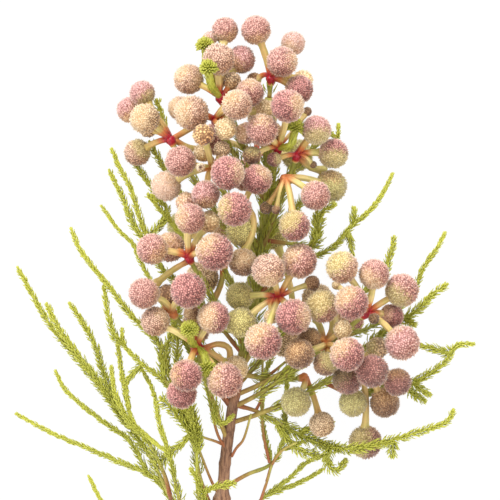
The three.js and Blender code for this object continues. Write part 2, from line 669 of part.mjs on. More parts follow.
// How far a stalk runs into its neighbours. Its own umbel's pieces count for less, because it
// may grow into them, and not at all near the fork.
function crowding(curve, head, obstacles) {
  const samples = 12;
  const nearFork = 0.3;
  const nearHead = 0.75;
  const ownWeight = 0.2;
  let cost = 0;
  for (let step = 1; step <= samples; step += 1) {
    const at = step / samples;
    const point = curve.getPoint(at);
    const thick = peduncleRadius * (at > nearHead ? peduncleFlare : 1);
    for (const ball of obstacles) {
      if (ball === head || (ball.owner === head.umbel && at < nearFork)) {
        continue;
      }
      const isOwn = ball.umbel === head.umbel || ball.owner === head.umbel;
      const need = ball.radius + thick + (isOwn ? 0 : headGap);
      const short = need - point.distanceTo(ball.centre);
      if (short > 0) {
        cost += short * (isOwn ? ownWeight : 1);
      }
    }
  }
  return cost;
}

// The wood: main stem, the branches up to the forks and the bare feet of the leafy shoots
const mainCurve = smoothCurve(mainStem.map(vector));

function stemPointAtHeight(height) {
  let low = 0;
  let high = 1;
  for (let i = 0; i < 40; i += 1) {
    const middle = (low + high) / 2;
    if (mainCurve.getPointAt(middle).y < height) {
      low = middle;
    } else {
      high = middle;
    }
  }
  return mainCurve.getPointAt(low);
}

function branchCurve(umbel) {
  const fork = laid(umbel.fork);
  const start = stemPointAtHeight(umbel.leaves);
  const span = fork.clone().sub(start);
  const outward = start.clone().addScaledVector(span, 0.5);
  outward.y -= span.length() * branchDip;
  outward.z -= span.length() * branchBack;
  return new THREE.QuadraticBezierCurve3(start, outward, fork);
}

function partOfCurve(curve, from, to) {
  const pointStep = 1.5;
  const points = [];
  const count = Math.max(2, Math.ceil((curve.getLength() * (to - from)) / pointStep));
  for (let i = 0; i <= count; i += 1) {
    points.push(curve.getPointAt(from + (to - from) * (i / count)));
  }
  return smoothCurve(points);
}

for (const umbel of umbels) {
  const whole = branchCurve(umbel);
  const length = whole.getLength();
  umbel.branch = partOfCurve(whole, 0, 1 - (glandRadius + jointGap) / length);
  umbel.rising = whole.getTangentAt(1);
}

const woodCurves = [mainCurve].concat(umbels.map((umbel) => umbel.branch));

// The nearest point of the wood that is already there
function pointOnWood(point) {
  const samplesPerMm = 2;
  let best = null;
  for (const curve of woodCurves) {
    const count = Math.ceil(curve.getLength() * samplesPerMm);
    for (let i = 0; i <= count; i += 1) {
      const spot = curve.getPointAt(i / count);
      const distance = spot.distanceTo(point);
      if (best === null || distance < best.distance) {
        best = { spot, distance };
      }
    }
  }
  return best.spot;
}

for (const shoot of shoots) {
  const places = shoot.axes.map((axis) => axis.map(laid));
  places[0][0] = pointOnWood(places[0][0]);
  const axis = smoothCurve(places[0]);
  const length = axis.getLength();
  shoot.foot = partOfCurve(axis, 0, shoot.bare / length);
  shoot.leafy = partOfCurve(axis, (shoot.bare + jointGap) / length, 1);
  shoot.forks = places.slice(1).map(smoothCurve);
  woodCurves.push(shoot.foot);
}

const heads = umbels.flatMap((umbel) => umbel.heads.map((row) => ({
  centre: laid(row), radius: row[3], umbel: umbel.name,
})));

function ballsOfBranch(umbel) {
  const ownFrom = 0.8;   // from here on the umbel's own heads may lie against the branch
  return [
    ...ballsAlong(umbel.branch, branchRadius, 'stem', 0, ownFrom),
    ...ballsAlong(umbel.branch, branchRadius, umbel.name, ownFrom, 1),
    { centre: laid(umbel.fork), radius: glandRadius, owner: umbel.name },
  ];
}

function ballsOfShoot(shoot) {
  const radius = (shootCore + leafReach) * shoot.reach;
  return [
    ...ballsAlong(shoot.foot, twigRadius, 'stem'),
    ...[shoot.leafy, ...shoot.forks].flatMap((axis) => ballsAlong(axis, radius, shoot.name)),
  ];
}

const woodBalls = [
  ...ballsAlong(mainCurve, stemMeanRadius, 'stem'),
  ...umbels.flatMap(ballsOfBranch),
  ...shoots.flatMap(ballsOfShoot),
];
settleHeads(heads, woodBalls);

const obstacles = heads.concat(woodBalls);
const root = new THREE.Group();

function addPiece(name, solid, finish) {
  const material = new THREE.MeshStandardMaterial({ ...finish, metalness: 0 });
  const mesh = new THREE.Mesh(tidySeams(toGeometry(solid)), material);
  mesh.name = name;
  mesh.position.set(...originShift);
  root.add(mesh);
}

// Cuts away what lies below the resting surface
function pressFlat(solid) {
  const [wide, long, deep] = [300, 400, 10];
  const slab = new THREE.BoxGeometry(wide, long, deep);
  slab.translate(0, 0, -deep / 2);
  return solid.subtract(toSolid(slab));
}

// The slanted cut at the foot of the stem
function slantCutter() {
  const size = 12;
  const cutter = new THREE.BoxGeometry(size, size, size);
  const [x, y, z] = mainStem[0];
  cutter.translate(0, -size / 2, 0);
  cutter.rotateX(cutSlant);
  cutter.translate(x, y + cutInset, z);
  return toSolid(cutter);
}

function makeStem() {
  const bareStem = toSolid(woodTube(mainCurve, stemRadius, crownRadius, stemSides, stemStep));
  const parts = [bareStem.subtract(slantCutter())];
  for (const umbel of umbels) {
    const thinner = branchRadius * branchThinning;
    parts.push(toSolid(woodTube(umbel.branch, branchRadius, thinner, twigSides, branchStep)));
  }
  for (const shoot of shoots) {
    const thinner = twigRadius * twigThinning;
    parts.push(toSolid(woodTube(shoot.foot, twigRadius, thinner, twigSides, twigStep)));
  }
  return pressFlat(fuse(parts));
}

// The stalk of one head, thinner at the fork and wider at the head
function peduncle(curve, headRadius) {
  const rings = curve.getLength() < longPeduncle ? 1 : 2;
  const thick = peduncleRadius * Math.min(1, headRadius / slimHeadRadius);
  const widening = peduncleFlare - 1;
  return toSolid(bentCylinder(curve, twigSides, rings, (side, ring) => ({
    radius: thick * (1 - widening + 2 * widening * (ring / rings)),
    forward: 0,
  })));
}

function gland(fork) {
  const knob = new THREE.OctahedronGeometry(glandRadius * glandSwell, 0);
  knob.translate(fork.x, fork.y, fork.z);
  return toSolid(knob);
}

function makeUmbel(umbel, index) {
  const random = makeRandom(firstSeed + index * seedStep);
  const fork = laid(umbel.fork);
  const parts = [gland(fork)];
  for (const head of heads.filter((each) => each.umbel === umbel.name)) {
    const curve = peduncleCurve(head, fork, umbel.rising, obstacles);
    obstacles.push(...ballsAlong(curve, peduncleRadius, umbel.name, 0.1, 0.9));
    parts.push(peduncle(curve, head.radius));
    parts.push(flowerHead(head, curve.getTangent(1).negate(), random));
  }
  for (const bud of umbel.buds ?? []) {
    parts.push(toSolid(needleTube(smoothCurve(bud.map(laid)), budReach)));
  }
  return pressFlat(fuse(parts));
}

function makeShoot(shoot) {
  const axes = [shoot.leafy, ...shoot.forks];
  return pressFlat(fuse(axes.map((axis) => toSolid(needleTube(axis, shoot.reach)))));
}

addPiece('stem_and_branches', makeStem(), finishes.wood);
umbels.forEach((umbel, index) => {
  addPiece(umbel.name, makeUmbel(umbel, index), finishes.heads);
});
for (const shoot of shoots) {
  addPiece(shoot.name, makeShoot(shoot), finishes.leaves);
}

export default root;
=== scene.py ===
# A cut stem of berzelia, dressed: florets, stalks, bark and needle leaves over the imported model.
#
# The tables are in millimetres, in the place where the branch grew. The stem lies along Y with
# its crown at +Y, and Z is up from the surface that it lies on. The finished pieces are in metres,
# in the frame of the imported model.
import copy
import math
import random

import bmesh
import bpy
import numpy as np
from mathutils import Matrix, Vector


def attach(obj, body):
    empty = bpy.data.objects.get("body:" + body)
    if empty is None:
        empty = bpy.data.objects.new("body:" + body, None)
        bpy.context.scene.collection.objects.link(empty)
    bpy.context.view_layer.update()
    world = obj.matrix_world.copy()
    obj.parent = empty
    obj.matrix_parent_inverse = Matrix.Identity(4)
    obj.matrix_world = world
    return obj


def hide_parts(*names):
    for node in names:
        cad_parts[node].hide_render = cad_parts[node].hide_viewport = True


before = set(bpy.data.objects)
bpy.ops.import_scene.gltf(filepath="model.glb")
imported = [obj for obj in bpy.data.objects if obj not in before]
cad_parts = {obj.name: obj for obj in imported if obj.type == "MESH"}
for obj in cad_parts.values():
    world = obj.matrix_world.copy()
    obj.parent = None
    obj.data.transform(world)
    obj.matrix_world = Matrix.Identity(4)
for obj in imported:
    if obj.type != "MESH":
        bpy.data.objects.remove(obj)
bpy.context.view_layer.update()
print("frame loaded:", len(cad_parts), "nodes")

photoView = {
    "middle": (1.7, 37.5),       # what the middle of the picture shows, in mm
    "width": 125,                # width of the picture there, in mm
    "height": 22,                # how far above the floor that width holds
    "distance": 1200,
    "sensor": 36,
}


def makeCamera(look):
    camera = bpy.data.cameras.new("photo_camera")
    camera.sensor_width = look["sensor"]
    camera.lens = look["sensor"] * look["distance"] / look["width"]
    camera.clip_start = 0.05
    camera.clip_end = 20
    holder = bpy.data.objects.new("photo_camera", camera)
    x, y = look["middle"]
    holder.location = Vector((x, y, look["height"] + look["distance"])) / 1000
    bpy.context.scene.collection.objects.link(holder)
    bpy.context.scene.camera = holder


makeCamera(photoView)

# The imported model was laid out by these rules, and repeating them puts every finer piece where
# its plain one is.
layout = {
    "lieFlat": 0.8,              # how much flatter the branch lies than it grew
    "originShift": (1.7, 37.5, 0),
    "headGap": 0.45,             # air between two flower heads
    "restTrim": 0.15,            # how far the lowest heads are pressed flat
    "settled": 0.002,            # heads have settled when none has to move further than this
    "mostRounds": 600,
    "glandRadius": 1.15,
    "jointGap": 0.3,             # between a piece and the wood that carries it
    "branchDip": 0.1,            # how far a branch hangs below its chord, as a share of it
    "branchBack": 0.06,          # and how far it bows towards the floor
    "pointStep": 1.5,            # distance of the points that stand for a part of a curve
    "stemMeanRadius": 1.35,
    "branchRadius": 0.85,
    "twigRadius": 0.6,
    "shootCore": 0.36,
    "leafReach": 0.95,
    "peduncleRadius": 0.62,
    "peduncleFlare": 1.15,
    "flareFrom": 0.75,
    "peduncleSink": 0.55,        # where a stalk ends inside its head, as a share of the radius
    "peduncleMiddle": 0.4,       # where along its chord it bends
    "peduncleRise": 0.12,        # how far it first follows its branch
    "bendStep": 1.3,             # a stalk in the way is bent aside by whole steps of this
    "bendSteps": 5,
    "bendWays": 10,
    "bendCost": 0.05,
    "bendNear": 7,
    "stalkSamples": 12,
    "ownWoodTo": 0.3,            # a stalk may touch its own branch up to here
    "ownWeight": 0.2,            # what touching its own umbel counts
}

# The main stem, from the slanted cut to the crown
mainStem = [
    (-10.5, -134, 1.4), (-9.8, -115, 3.2), (-8.6, -90, 6.4), (-7, -62, 10), (-5.6, -47.8, 12.4),
    (-4, -37.5, 14.8), (-1.4, -25, 17.2), (1.2, -12, 18.8), (3.2, 2, 19.6), (4.4, 14, 20.4),
    (4.6, 27, 22), (4.8, 38, 24.4),
]

# Where each umbel forks, how high up the stem its branch leaves it, and its heads: x, y, z, radius,
# tone and, on some, a patch with its side, its share and its tone. Leafy buds are curves.
umbels = {
    "umbel_crown_left": {"fork": (-7.5, 38, 37), "leaves": 16, "heads": [
        (-6.25, 54.75, 33, 3.5, "mauve", "lowRight", 0.12, "tan"),
        (-10, 53, 27, 2, "pinkcream", "lowLeft", 0.3, "cream"),
        (-7.75, 47.25, 41, 4.25, "tanpink"), (-15.25, 42.5, 34, 4, "tanpink", "highLeft", 0.22, "cream"),
        (-2.25, 47.5, 31, 3.75, "rose", "lowLeft", 0.25, "tan"), (-4.5, 42, 38, 2.5, "tan"),
    ], "buds": [
        [(-7.5, 38, 37), (-9.6, 41, 43), (-10.2, 45.7, 45.5)],
        [(-7.5, 38, 37), (-10.5, 44, 35), (-11.25, 51.5, 36)],
    ]},
    "umbel_crown_middle": {"fork": (-8.6, 32.4, 34.4), "leaves": 12, "heads": [
        (-17.5, 35.5, 25, 3.25, "pale", "left", 0.3, "cream"),
        (-14.5, 34, 41, 4.6, "tanpink", "left", 0.35, "cream"),
        (0, 39, 40, 3.75, "mauve", "high", 0.15, "cream"),
        (-3.25, 35.75, 45, 4, "tanpink", "highLeft", 0.3, "cream"),
        (3.5, 35, 36, 2.75, "sand"), (-6, 30, 38, 3, "sand"),
    ]},
    "umbel_crown_right": {"fork": (5.25, 43, 32), "leaves": 38, "heads": [
        (1.5, 54.75, 34, 3.9, "mauve", "low", 0.12, "tan"), (10.75, 51.75, 25, 3.25, "pinkcream"),
        (8, 46.75, 38, 4.1, "mauve", "right", 0.12, "cream"), (12.25, 40, 36, 3.75, "plum"),
        (13.25, 42.5, 28, 2.75, "sand"), (1, 42.5, 28, 2, "brown"),
    ]},
    "umbel_upper_middle": {"fork": (7, 25.5, 34), "leaves": 8, "heads": [
        (9.25, 35.5, 42, 4.4, "plum", "right", 0.2, "cream"),
        (3, 29.75, 43, 4.25, "mauve", "high", 0.18, "cream"),
        (-1, 29, 38, 3, "rose", "left", 0.4, "cream"), (5.5, 29.25, 34, 3, "tan"),
        (0.5, 23.5, 35, 2.5, "brown", "high", 0.3, "green"), (14.25, 34.5, 33, 1.25, "brown"),
    ], "buds": [
        [(7, 25.5, 34), (10, 26, 39), (11.5, 31, 40)],
    ]},
    "umbel_upper_right": {"fork": (11.75, 23.75, 33), "leaves": 4, "heads": [
        (16.5, 29.75, 38, 3.9, "rose", "low", 0.42, "green"),
        (20.75, 24, 32, 4, "plum", "low", 0.5, "green"),
        (15.75, 21.25, 34, 1, "dark"), (6, 22.5, 37, 2, "purple", "right", 0.3, "green"),
    ]},
    "umbel_right_shoulder": {"fork": (8.75, 18, 37), "leaves": 0, "heads": [
        (16.25, 13.5, 42, 3.9, "mauve"), (11, 6, 43, 4.1, "plum", "highLeft", 0.4, "yellow"),
        (20.25, 16, 29, 4.25, "olive", "high", 0.2, "tan"), (4, 10.5, 37, 1.75, "dark"),
        (6.5, 10, 38, 1.25, "brown"),
    ]},
    "umbel_upper_far_left": {"fork": (-20, 27.75, 28), "leaves": -4, "heads": [
        (-27, 39.25, 24, 3.4, "rose", "lowRight", 0.25, "green"),
        (-30.25, 35.25, 20, 3.5, "rose", "low", 0.22, "tan"),
        (-26.25, 32.75, 32, 4, "tan", "left", 0.5, "cream"), (-25.5, 30.5, 24, 2.5, "tan"),
        (-28.25, 24.5, 22, 3.6, "tanpink", "highRight", 0.4, "green"),
    ]},
    "umbel_upper_left": {"fork": (-9.5, 20.5, 33), "leaves": 0, "heads": [
        (-11.5, 28.5, 42, 2.9, "orange"), (-7, 25, 37, 2.25, "tan"),
        (-17.25, 22, 39, 4.1, "mauve"), (-11.75, 24.25, 36, 2.5, "sand"),
        (-12.25, 20.5, 41, 1.25, "nub"), (-5.5, 19, 47, 4.5, "plum", "right", 0.12, "cream"),
        (-11, 13.75, 43, 3.75, "rose", "low", 0.15, "tan"), (-21, 16, 28, 4, "pale"),
    ]},
    "umbel_centre": {"fork": (-1.5, 11, 33), "leaves": -6, "heads": [
        (1.75, 17.5, 42, 4, "plum", "highRight", 0.15, "cream"),
        (-3.75, 10, 48, 4.5, "plum", "left", 0.15, "yellow"),
        (-2.25, 4.75, 37, 4, "green"), (-1.75, -3, 38, 3.75, "brown", "high", 0.5, "cream"),
    ]},
    "umbel_left": {"fork": (-15.25, -1.75, 37), "leaves": -24, "heads": [
        (-24.25, 0.25, 40, 4.1, "mauve", "lowRight", 0.2, "tan"),
        (-20, 0.75, 32, 4, "mauve", "highLeft", 0.3, "cream"),
        (-8.75, -0.5, 48, 4.9, "plum", "highLeft", 0.25, "cream"),
        (-14.75, 7.75, 45, 4, "mauve", "left", 0.22, "cream"),
        (-15.75, 11.75, 34, 3, "mauve", "highLeft", 0.3, "cream"),
        (-10.25, 7, 38, 3, "sand", "low", 0.3, "tan"),
    ]},
    "umbel_far_left": {"fork": (-19.5, -15.5, 33), "leaves": -32, "heads": [
        (-26.25, -10.75, 38, 4.1, "mauve"), (-15.25, -10, 43, 4.75, "plum"),
        (-20.5, -11.25, 33, 3, "brown"),
    ]},
    "umbel_lower_left": {"fork": (-13.25, -24, 36), "leaves": -48, "heads": [
        (-23.5, -17.75, 38, 3.9, "tanpink", "highRight", 0.15, "cream"),
        (-9, -16.75, 43, 4.25, "plum", "left", 0.45, "cream"),
        (-14.5, -15.75, 34, 2.25, "brown", "left", 0.3, "cream"),
        (-15.75, -31, 43, 4.25, "plum", "left", 0.15, "tan"),
        (-17, -35.75, 36, 4, "plum"), (-6.25, -32.25, 40, 4.75, "mauve", "left", 0.18, "cream"),
        (-3.75, -29.5, 31, 3.5, "sand"),
    ], "buds": [
        [(-13.25, -24, 36), (-14.6, -22.5, 41), (-15, -19, 44)],
        [(-13.25, -24, 36), (-11.4, -26, 39), (-10.6, -30, 41)],
    ]},
    "umbel_lower_middle": {"fork": (7, -11.75, 36), "leaves": -30, "heads": [
        (4.5, -5, 45, 4.4, "tanpink", "low", 0.15, "cream"),
        (12.25, -2.75, 43, 4.6, "mauve", "highLeft", 0.25, "cream"),
        (15.5, -8.25, 36, 2.1, "brown"), (10.75, -16.5, 46, 4.75, "plum", "right", 0.15, "cream"),
        (3.25, -22.5, 47, 4.9, "plum", "highLeft", 0.32, "cream"), (5.25, -16.5, 39, 2, "sand"),
        (-2.5, -11.5, 35, 3.75, "green"), (-2.25, -18, 36, 4, "green"),
    ]},
    "umbel_far_right": {"fork": (29, -15.5, 36), "leaves": -36.5, "heads": [
        (22.75, -4.25, 38, 4.25, "tanpink", "highLeft", 0.42, "yellow"),
        (30.75, -6, 36, 4, "mauve", "lowLeft", 0.35, "cream"),
        (37.75, -10, 32, 4.45, "mauve", "lowLeft", 0.35, "green"),
        (25, -13, 44, 4.5, "plum", "highLeft", 0.3, "cream"),
        (18, -14, 38, 4.4, "mauve", "highLeft", 0.6, "yellow"), (21.5, -8.75, 33, 1.25, "sand"),
        (30.75, -17, 40, 1.5, "dark"), (35.25, -16.5, 30, 3.25, "plum"),
        (37.75, -23, 40, 4.6, "rose"),
    ]},
    "umbel_lower_right": {"fork": (18.5, -23.5, 32), "leaves": -39.5, "heads": [
        (24, -25.75, 42, 4.5, "plum", "highLeft", 0.25, "cream"),
        (14.75, -22.25, 37, 3.25, "dark", "right", 0.25, "tan"),
        (12.25, -25.75, 38, 4, "brown", "highLeft", 0.35, "tan"),
        (18.75, -28.25, 33, 3.25, "brown", "highRight", 0.45, "green"),
        (23, -19.75, 34, 2.5, "sand"),
    ]},
    "umbel_low_edge": {"fork": (26.5, -28, 27), "leaves": -43.5, "heads": [
        (30.25, -30, 37, 4.4, "purple"), (24.25, -32.25, 33, 4, "purple", "highLeft", 0.4, "moss"),
        (36.75, -33, 29, 3.75, "purple", "high", 0.15, "tan"), (25.75, -38.25, 25, 3.75, "olive"),
        (33.75, -38.25, 24, 4, "brown", "high", 0.3, "tan"),
        (31.75, -24.5, 28, 3, "tan", "left", 0.3, "green"),
        (29, -48.25, 22, 4.45, "purple", "left", 0.5, "green"),
    ]},
    "umbel_bottom": {"fork": (14, -32, 20.5), "leaves": -31, "heads": [
        (11.5, -38, 24, 4, "olive"), (18, -43.75, 22, 3.4, "tan"),
    ]},
    "umbel_back_upper": {"fork": (1.5, 24, 17), "leaves": 8, "heads": [
        (-9, 28, 14, 4.2, "mauve"), (3, 34, 13, 4, "tan"), (12, 24, 5, 4.3, "olive"),
        (-1, 19, 6, 4.4, "mauve"),
    ]},
    "umbel_back_left": {"fork": (-7, -3, 15), "leaves": -18, "heads": [
        (-17, 6, 5, 4.2, "olive"), (-6, 7, 12, 4.4, "mauve", "left", 0.3, "cream"),
        (-12, -7, 14, 4.4, "tan"), (-14, -20, 15, 4.2, "tanpink"),
    ]},
    "umbel_back_right": {"fork": (11, -16, 15), "leaves": -34, "heads": [
        (6, 4, 10, 4.3, "green"), (3, -9, 5, 4.4, "olive"), (17, -12.5, 15, 4.3, "tan"),
        (25, -18, 5, 4.2, "mauve", "left", 0.3, "cream"), (9, -23, 11, 4.4, "tan"),
    ]},
}

# Leafy shoots: the length of the bare foot, how far the leaves stand out, the main axis and forks
shoots = {
    "shoot_left_long": {"bare": 40, "reach": 1.1, "axes": [
        [(-8.4, -88, 8.2), (-16, -72, 9), (-22.5, -57.5, 12), (-28.5, -46.5, 14), (-34, -38, 16),
            (-41.25, -28.75, 18), (-50, -18, 19), (-57.75, -4.25, 20)],
        [(-30, -44, 14.5), (-34.5, -37, 19), (-38.5, -31.5, 22), (-47.5, -19, 24), (-50.25, -13.25, 25)],
        [(-32, -41, 15), (-35.5, -34, 13), (-38.5, -24, 11), (-41.75, -18, 10), (-45, -13.25, 9.5)],
    ]},
    "shoot_left_middle": {"bare": 17, "reach": 0.9, "axes": [
        [(-20, -63, 11.4), (-21.6, -56.5, 17), (-26, -47.5, 21.5), (-30.5, -43, 23), (-34, -35, 23),
            (-34.75, -29.5, 22)],
    ]},
    "shoot_left_low": {"bare": 5, "reach": 0.8, "axes": [
        [(-17.5, -69, 9.4), (-23.75, -57.5, 9), (-34.5, -52.25, 8), (-50.5, -45.5, 6.5), (-58.75, -41, 6)],
        [(-25, -57, 9), (-30.5, -47.5, 8.5), (-37.75, -42.25, 8), (-46.5, -34.75, 7), (-49, -30.25, 6.5)],
    ]},
    "shoot_left_thin": {"bare": 16, "reach": 0.75, "axes": [
        [(-16.5, -71, 9.3), (-18.4, -60, 17.5), (-20.5, -50.5, 23), (-22.75, -43, 24), (-24.25, -35.75, 22),
            (-27, -30, 20.5)],
    ]},
    "shoot_left_wedge": {"bare": 15, "reach": 1.15, "axes": [
        [(-8, -74, 10.8), (-13, -61.5, 16.5), (-13.8, -50, 21), (-15.2, -46, 22.5), (-19.5, -40, 24),
            (-22.5, -36.75, 25)],
        [(-14, -48.5, 21.6), (-14.4, -43.5, 26), (-15.5, -40.5, 28)],
    ]},
    "shoot_left_fork": {"bare": 24, "reach": 1, "axes": [
        [(-7.6, -70, 11.4), (-12.4, -58, 13.5), (-15, -45, 19), (-21, -33.5, 24), (-27, -28.5, 25.5),
            (-31.5, -23.75, 26), (-32, -20, 26.5)],
        [(-31, -24.5, 25.9), (-33.75, -21.5, 27), (-35.5, -16, 27.5), (-36.5, -9.25, 28)],
        [(-27, -28.5, 25.5), (-31, -33.5, 23.5), (-30.5, -39, 23)],
    ]},
    "shoot_left_upper": {"bare": 24, "reach": 0.95, "axes": [
        [(-4.4, -39.5, 17.9), (-13, -30.5, 23.5), (-20.5, -33.5, 29), (-23, -23, 31.5), (-28.5, -17.5, 31),
            (-34.5, -10, 31), (-39.75, -3.5, 31), (-42.5, 0.25, 31), (-44.5, 5, 31)],
    ]},
    "shoot_left_foot": {"bare": 12, "reach": 0.85, "axes": [
        [(-9.4, -106, 5.4), (-17, -92, 5.5), (-30, -76, 5), (-38.5, -62.25, 4.5), (-40.75, -57.75, 4.5)],
    ]},
    "shoot_far_left_behind": {"bare": 14, "reach": 1.15, "axes": [
        [(-1.7, -26.5, 21.1), (-12, -14, 21.5), (-22.5, -4, 24), (-26.5, 5, 24), (-30.5, 16.75, 24),
            (-32.5, 20.25, 24), (-34.5, 25, 24.5)],
        [(-24.5, 0, 24), (-29, 6, 20.5), (-32.25, 13.75, 19), (-35.25, 19.75, 18.5)],
        [(-25.5, 2.5, 24), (-20.75, 10, 22), (-24.5, 13.5, 22)],
    ]},
    "shoot_far_left_thin": {"bare": 12, "reach": 0.7, "axes": [
        [(-4.5, -40.5, 17.6), (-16, -24, 17), (-27.5, -3, 15.5), (-29.5, 1.5, 15.5), (-33, 5, 15),
            (-37.25, 10.75, 15)],
    ]},
    "shoot_stem_curl": {"bare": 6, "reach": 1.25, "axes": [
        [(-7.5, -69, 11.5), (-11.6, -61.5, 20), (-9, -59.5, 23.5), (-4, -58.5, 25)],
        [(-11.4, -61.6, 19.5), (-13, -58, 21.5), (-14.75, -55, 23)],
    ]},
    "shoot_middle_curl": {"bare": 2, "reach": 0.95, "axes": [
        [(-8.6, -35.5, 23.8), (-8.9, -38.5, 27), (-8.6, -42.5, 28.5), (-6.5, -43.2, 29),
            (-4.4, -41.5, 29.5)],
    ]},
    "shoot_low_right_long": {"bare": 13, "reach": 1.15, "axes": [
        [(-4.2, -39, 18.1), (1.5, -40.5, 17.5), (6.25, -43, 17), (12, -46.25, 16.5), (18, -48.75, 18),
            (24, -49.75, 27), (30.75, -48.75, 29), (37.75, -46.75, 29), (43.75, -45, 28),
            (49.5, -42.75, 27), (50.75, -40.25, 27)],
        [(20, -49.1, 20), (19.5, -53.5, 18), (21.5, -55.5, 18), (24, -53, 18.5)],
        [(35.5, -47.4, 29), (35.75, -51.5, 27)],
    ]},
    "shoot_low_right_thin": {"bare": 16, "reach": 0.7, "axes": [
        [(-7.6, -75, 10.7), (2.5, -63.5, 10), (10, -57.75, 9.5), (14.25, -53.75, 9), (19, -52, 9)],
        [(4.2, -62, 10), (14, -58.25, 7), (18.25, -55.75, 6.5)],
    ]},
    "shoot_twig_middle": {"bare": 14, "reach": 0.8, "axes": [
        [(-6.9, -60, 12.8), (-1, -56.8, 12.6), (5.4, -54, 12.6), (8.2, -48.8, 13), (9.4, -44.4, 13)],
        [(5.2, -53.6, 12.6), (4.2, -49, 11), (3.4, -45, 10), (3, -41, 10)],
        [(9, -46, 12.8), (8.7, -41.5, 10.5), (9.2, -36, 10), (9.5, -30, 10)],
        [(7.9, -50.6, 12.8), (10.4, -49.6, 11.5), (13, -48.6, 10.5)],
    ]},
    "shoot_right_upper": {"bare": 12, "reach": 0.95, "axes": [
        [(1.3, -11.6, 23.6), (11, -3.5, 27), (17, -1.25, 29), (21, 1, 29), (25.5, 6, 29),
            (30.25, 10.25, 29), (33.5, 14.75, 29), (35.5, 18.75, 29)],
        [(24.5, 4.8, 29), (25.25, 1, 27.5), (25.5, -1, 27)],
        [(25.7, 6.2, 29), (26, 10.25, 30)],
    ]},
    "shoot_right_shoulder": {"bare": 14, "reach": 1.25, "axes": [
        [(3.3, 2.6, 24.6), (11, 1.5, 31), (16, 1.25, 34), (17, 8.75, 35.5), (21, 11.25, 36.5)],
    ]},
    "shoot_right_tip": {"bare": 12, "reach": 0.9, "axes": [
        [(4.5, 15, 25.6), (13, 22, 26.5), (19.5, 29, 27), (21.75, 28.25, 29.5), (22, 31, 30)],
    ]},
    "shoot_far_right_short": {"bare": 10, "reach": 1.15, "axes": [
        [(22.5, -22.4, 31.4), (28, -11, 29), (34, -5.5, 28), (34.5, -3, 27.5), (35.5, 0.25, 27.5),
            (36, 3, 27.5)],
    ]},
    "shoot_far_right_upper": {"bare": 12, "reach": 1.05, "axes": [
        [(21, -22.5, 30), (31, -19, 20), (40, -12, 22.5), (43.75, -4, 24), (46.75, 0.25, 25),
            (48.75, 4, 25)],
    ]},
    "shoot_far_right_thick": {"bare": 12, "reach": 1.5, "axes": [
        [(21.4, -33.2, 24.3), (32, -22, 22), (38, -17.5, 26), (43, -14, 28), (45.5, -11.25, 28),
            (49, -8.75, 28)],
        [(38.4, -17.2, 26), (41, -18.6, 29)],
    ]},
    "shoot_right_edge": {"bare": 10, "reach": 1.1, "axes": [
        [(19.5, -35, 23.3), (26.5, -36.5, 18.5), (34, -34.5, 18.5), (41.5, -33, 22), (45, -31, 24),
            (49, -28, 25), (51.75, -24, 25), (55.75, -23.5, 25)],
        [(50.4, -26, 25), (43, -24, 27)],
        [(40.5, -33.2, 21.6), (45, -36.25, 22)],
        [(39, -33.4, 21), (40.25, -35.5, 19.5), (43.75, -38, 19.5)],
    ]},
}


class Curve:
    # A curve whose places are found by share of its length
    divisions = 200

    def __init__(self):
        self.shares = np.linspace(0, 1, self.divisions + 1)
        steps = np.linalg.norm(np.diff(self.at(self.shares), axis=0), axis=1)
        self.reached = np.concatenate([[0], np.cumsum(steps)])
        self.length = self.reached[-1]

    def evenly(self, along):
        target = np.atleast_1d(along) * self.length
        return self.at(np.interp(target, self.reached, self.shares))

    def direction(self, share):
        step = 0.0001
        before, after = self.at(np.clip([share - step, share + step], 0, 1))
        return (after - before) / np.linalg.norm(after - before)


class SmoothCurve(Curve):
    # Centripetal Catmull-Rom through its points
    def __init__(self, points):
        points = np.array(points, dtype=float)
        before = 2 * points[0] - points[1]
        beyond = 2 * points[-1] - points[-2]
        self.spans = len(points) - 1
        self.points = np.vstack([before, points, beyond])
        super().__init__()

    def at(self, shares):
        place = np.asarray(shares, dtype=float) * self.spans
        index = np.minimum(place.astype(int), self.spans - 1)
        weight = (place - index)[:, None]
        a, b, c, d = (self.points[index + i] for i in range(4))
        ab, bc, cd = (
            np.sum((second - first) ** 2, axis=1)[:, None] ** 0.25
            for first, second in ((a, b), (b, c), (c, d))
        )
        leave = ((b - a) / ab - (c - a) / (ab + bc) + (c - b) / bc) * bc
        arrive = ((c - b) / bc - (d - b) / (bc + cd) + (d - c) / cd) * bc
        square = -3 * b + 3 * c - 2 * leave - arrive
        cube = 2 * b - 2 * c + leave + arrive
        return b + leave * weight + square * weight ** 2 + cube * weight ** 3


class Arc(Curve):
    # A quadratic curve from start to end, pulled towards middle
    def __init__(self, start, middle, end):
        self.start, self.middle, self.end = start, middle, end
        super().__init__()

    def at(self, shares):
        t = np.asarray(shares, dtype=float)[:, None]
        return (1 - t) ** 2 * self.start + 2 * (1 - t) * t * self.middle + t ** 2 * self.end


def laid(point):
    return np.array([point[0], point[1], point[2] * layout["lieFlat"]])


def unit(direction):
    return direction / np.linalg.norm(direction)


def partOfCurve(curve, start, end):
    count = max(2, math.ceil(curve.length * (end - start) / layout["pointStep"]))
    return SmoothCurve(curve.evenly(start + (end - start) * np.arange(count + 1) / count))


stemCurve = SmoothCurve(mainStem)


def stemPointAtHeight(height, halvings=40):
    low, high = 0, 1
    for _ in range(halvings):
        middle = (low + high) / 2
        if stemCurve.evenly(middle)[0][1] < height:
            low = middle
        else:
            high = middle
    return stemCurve.evenly(low)[0]


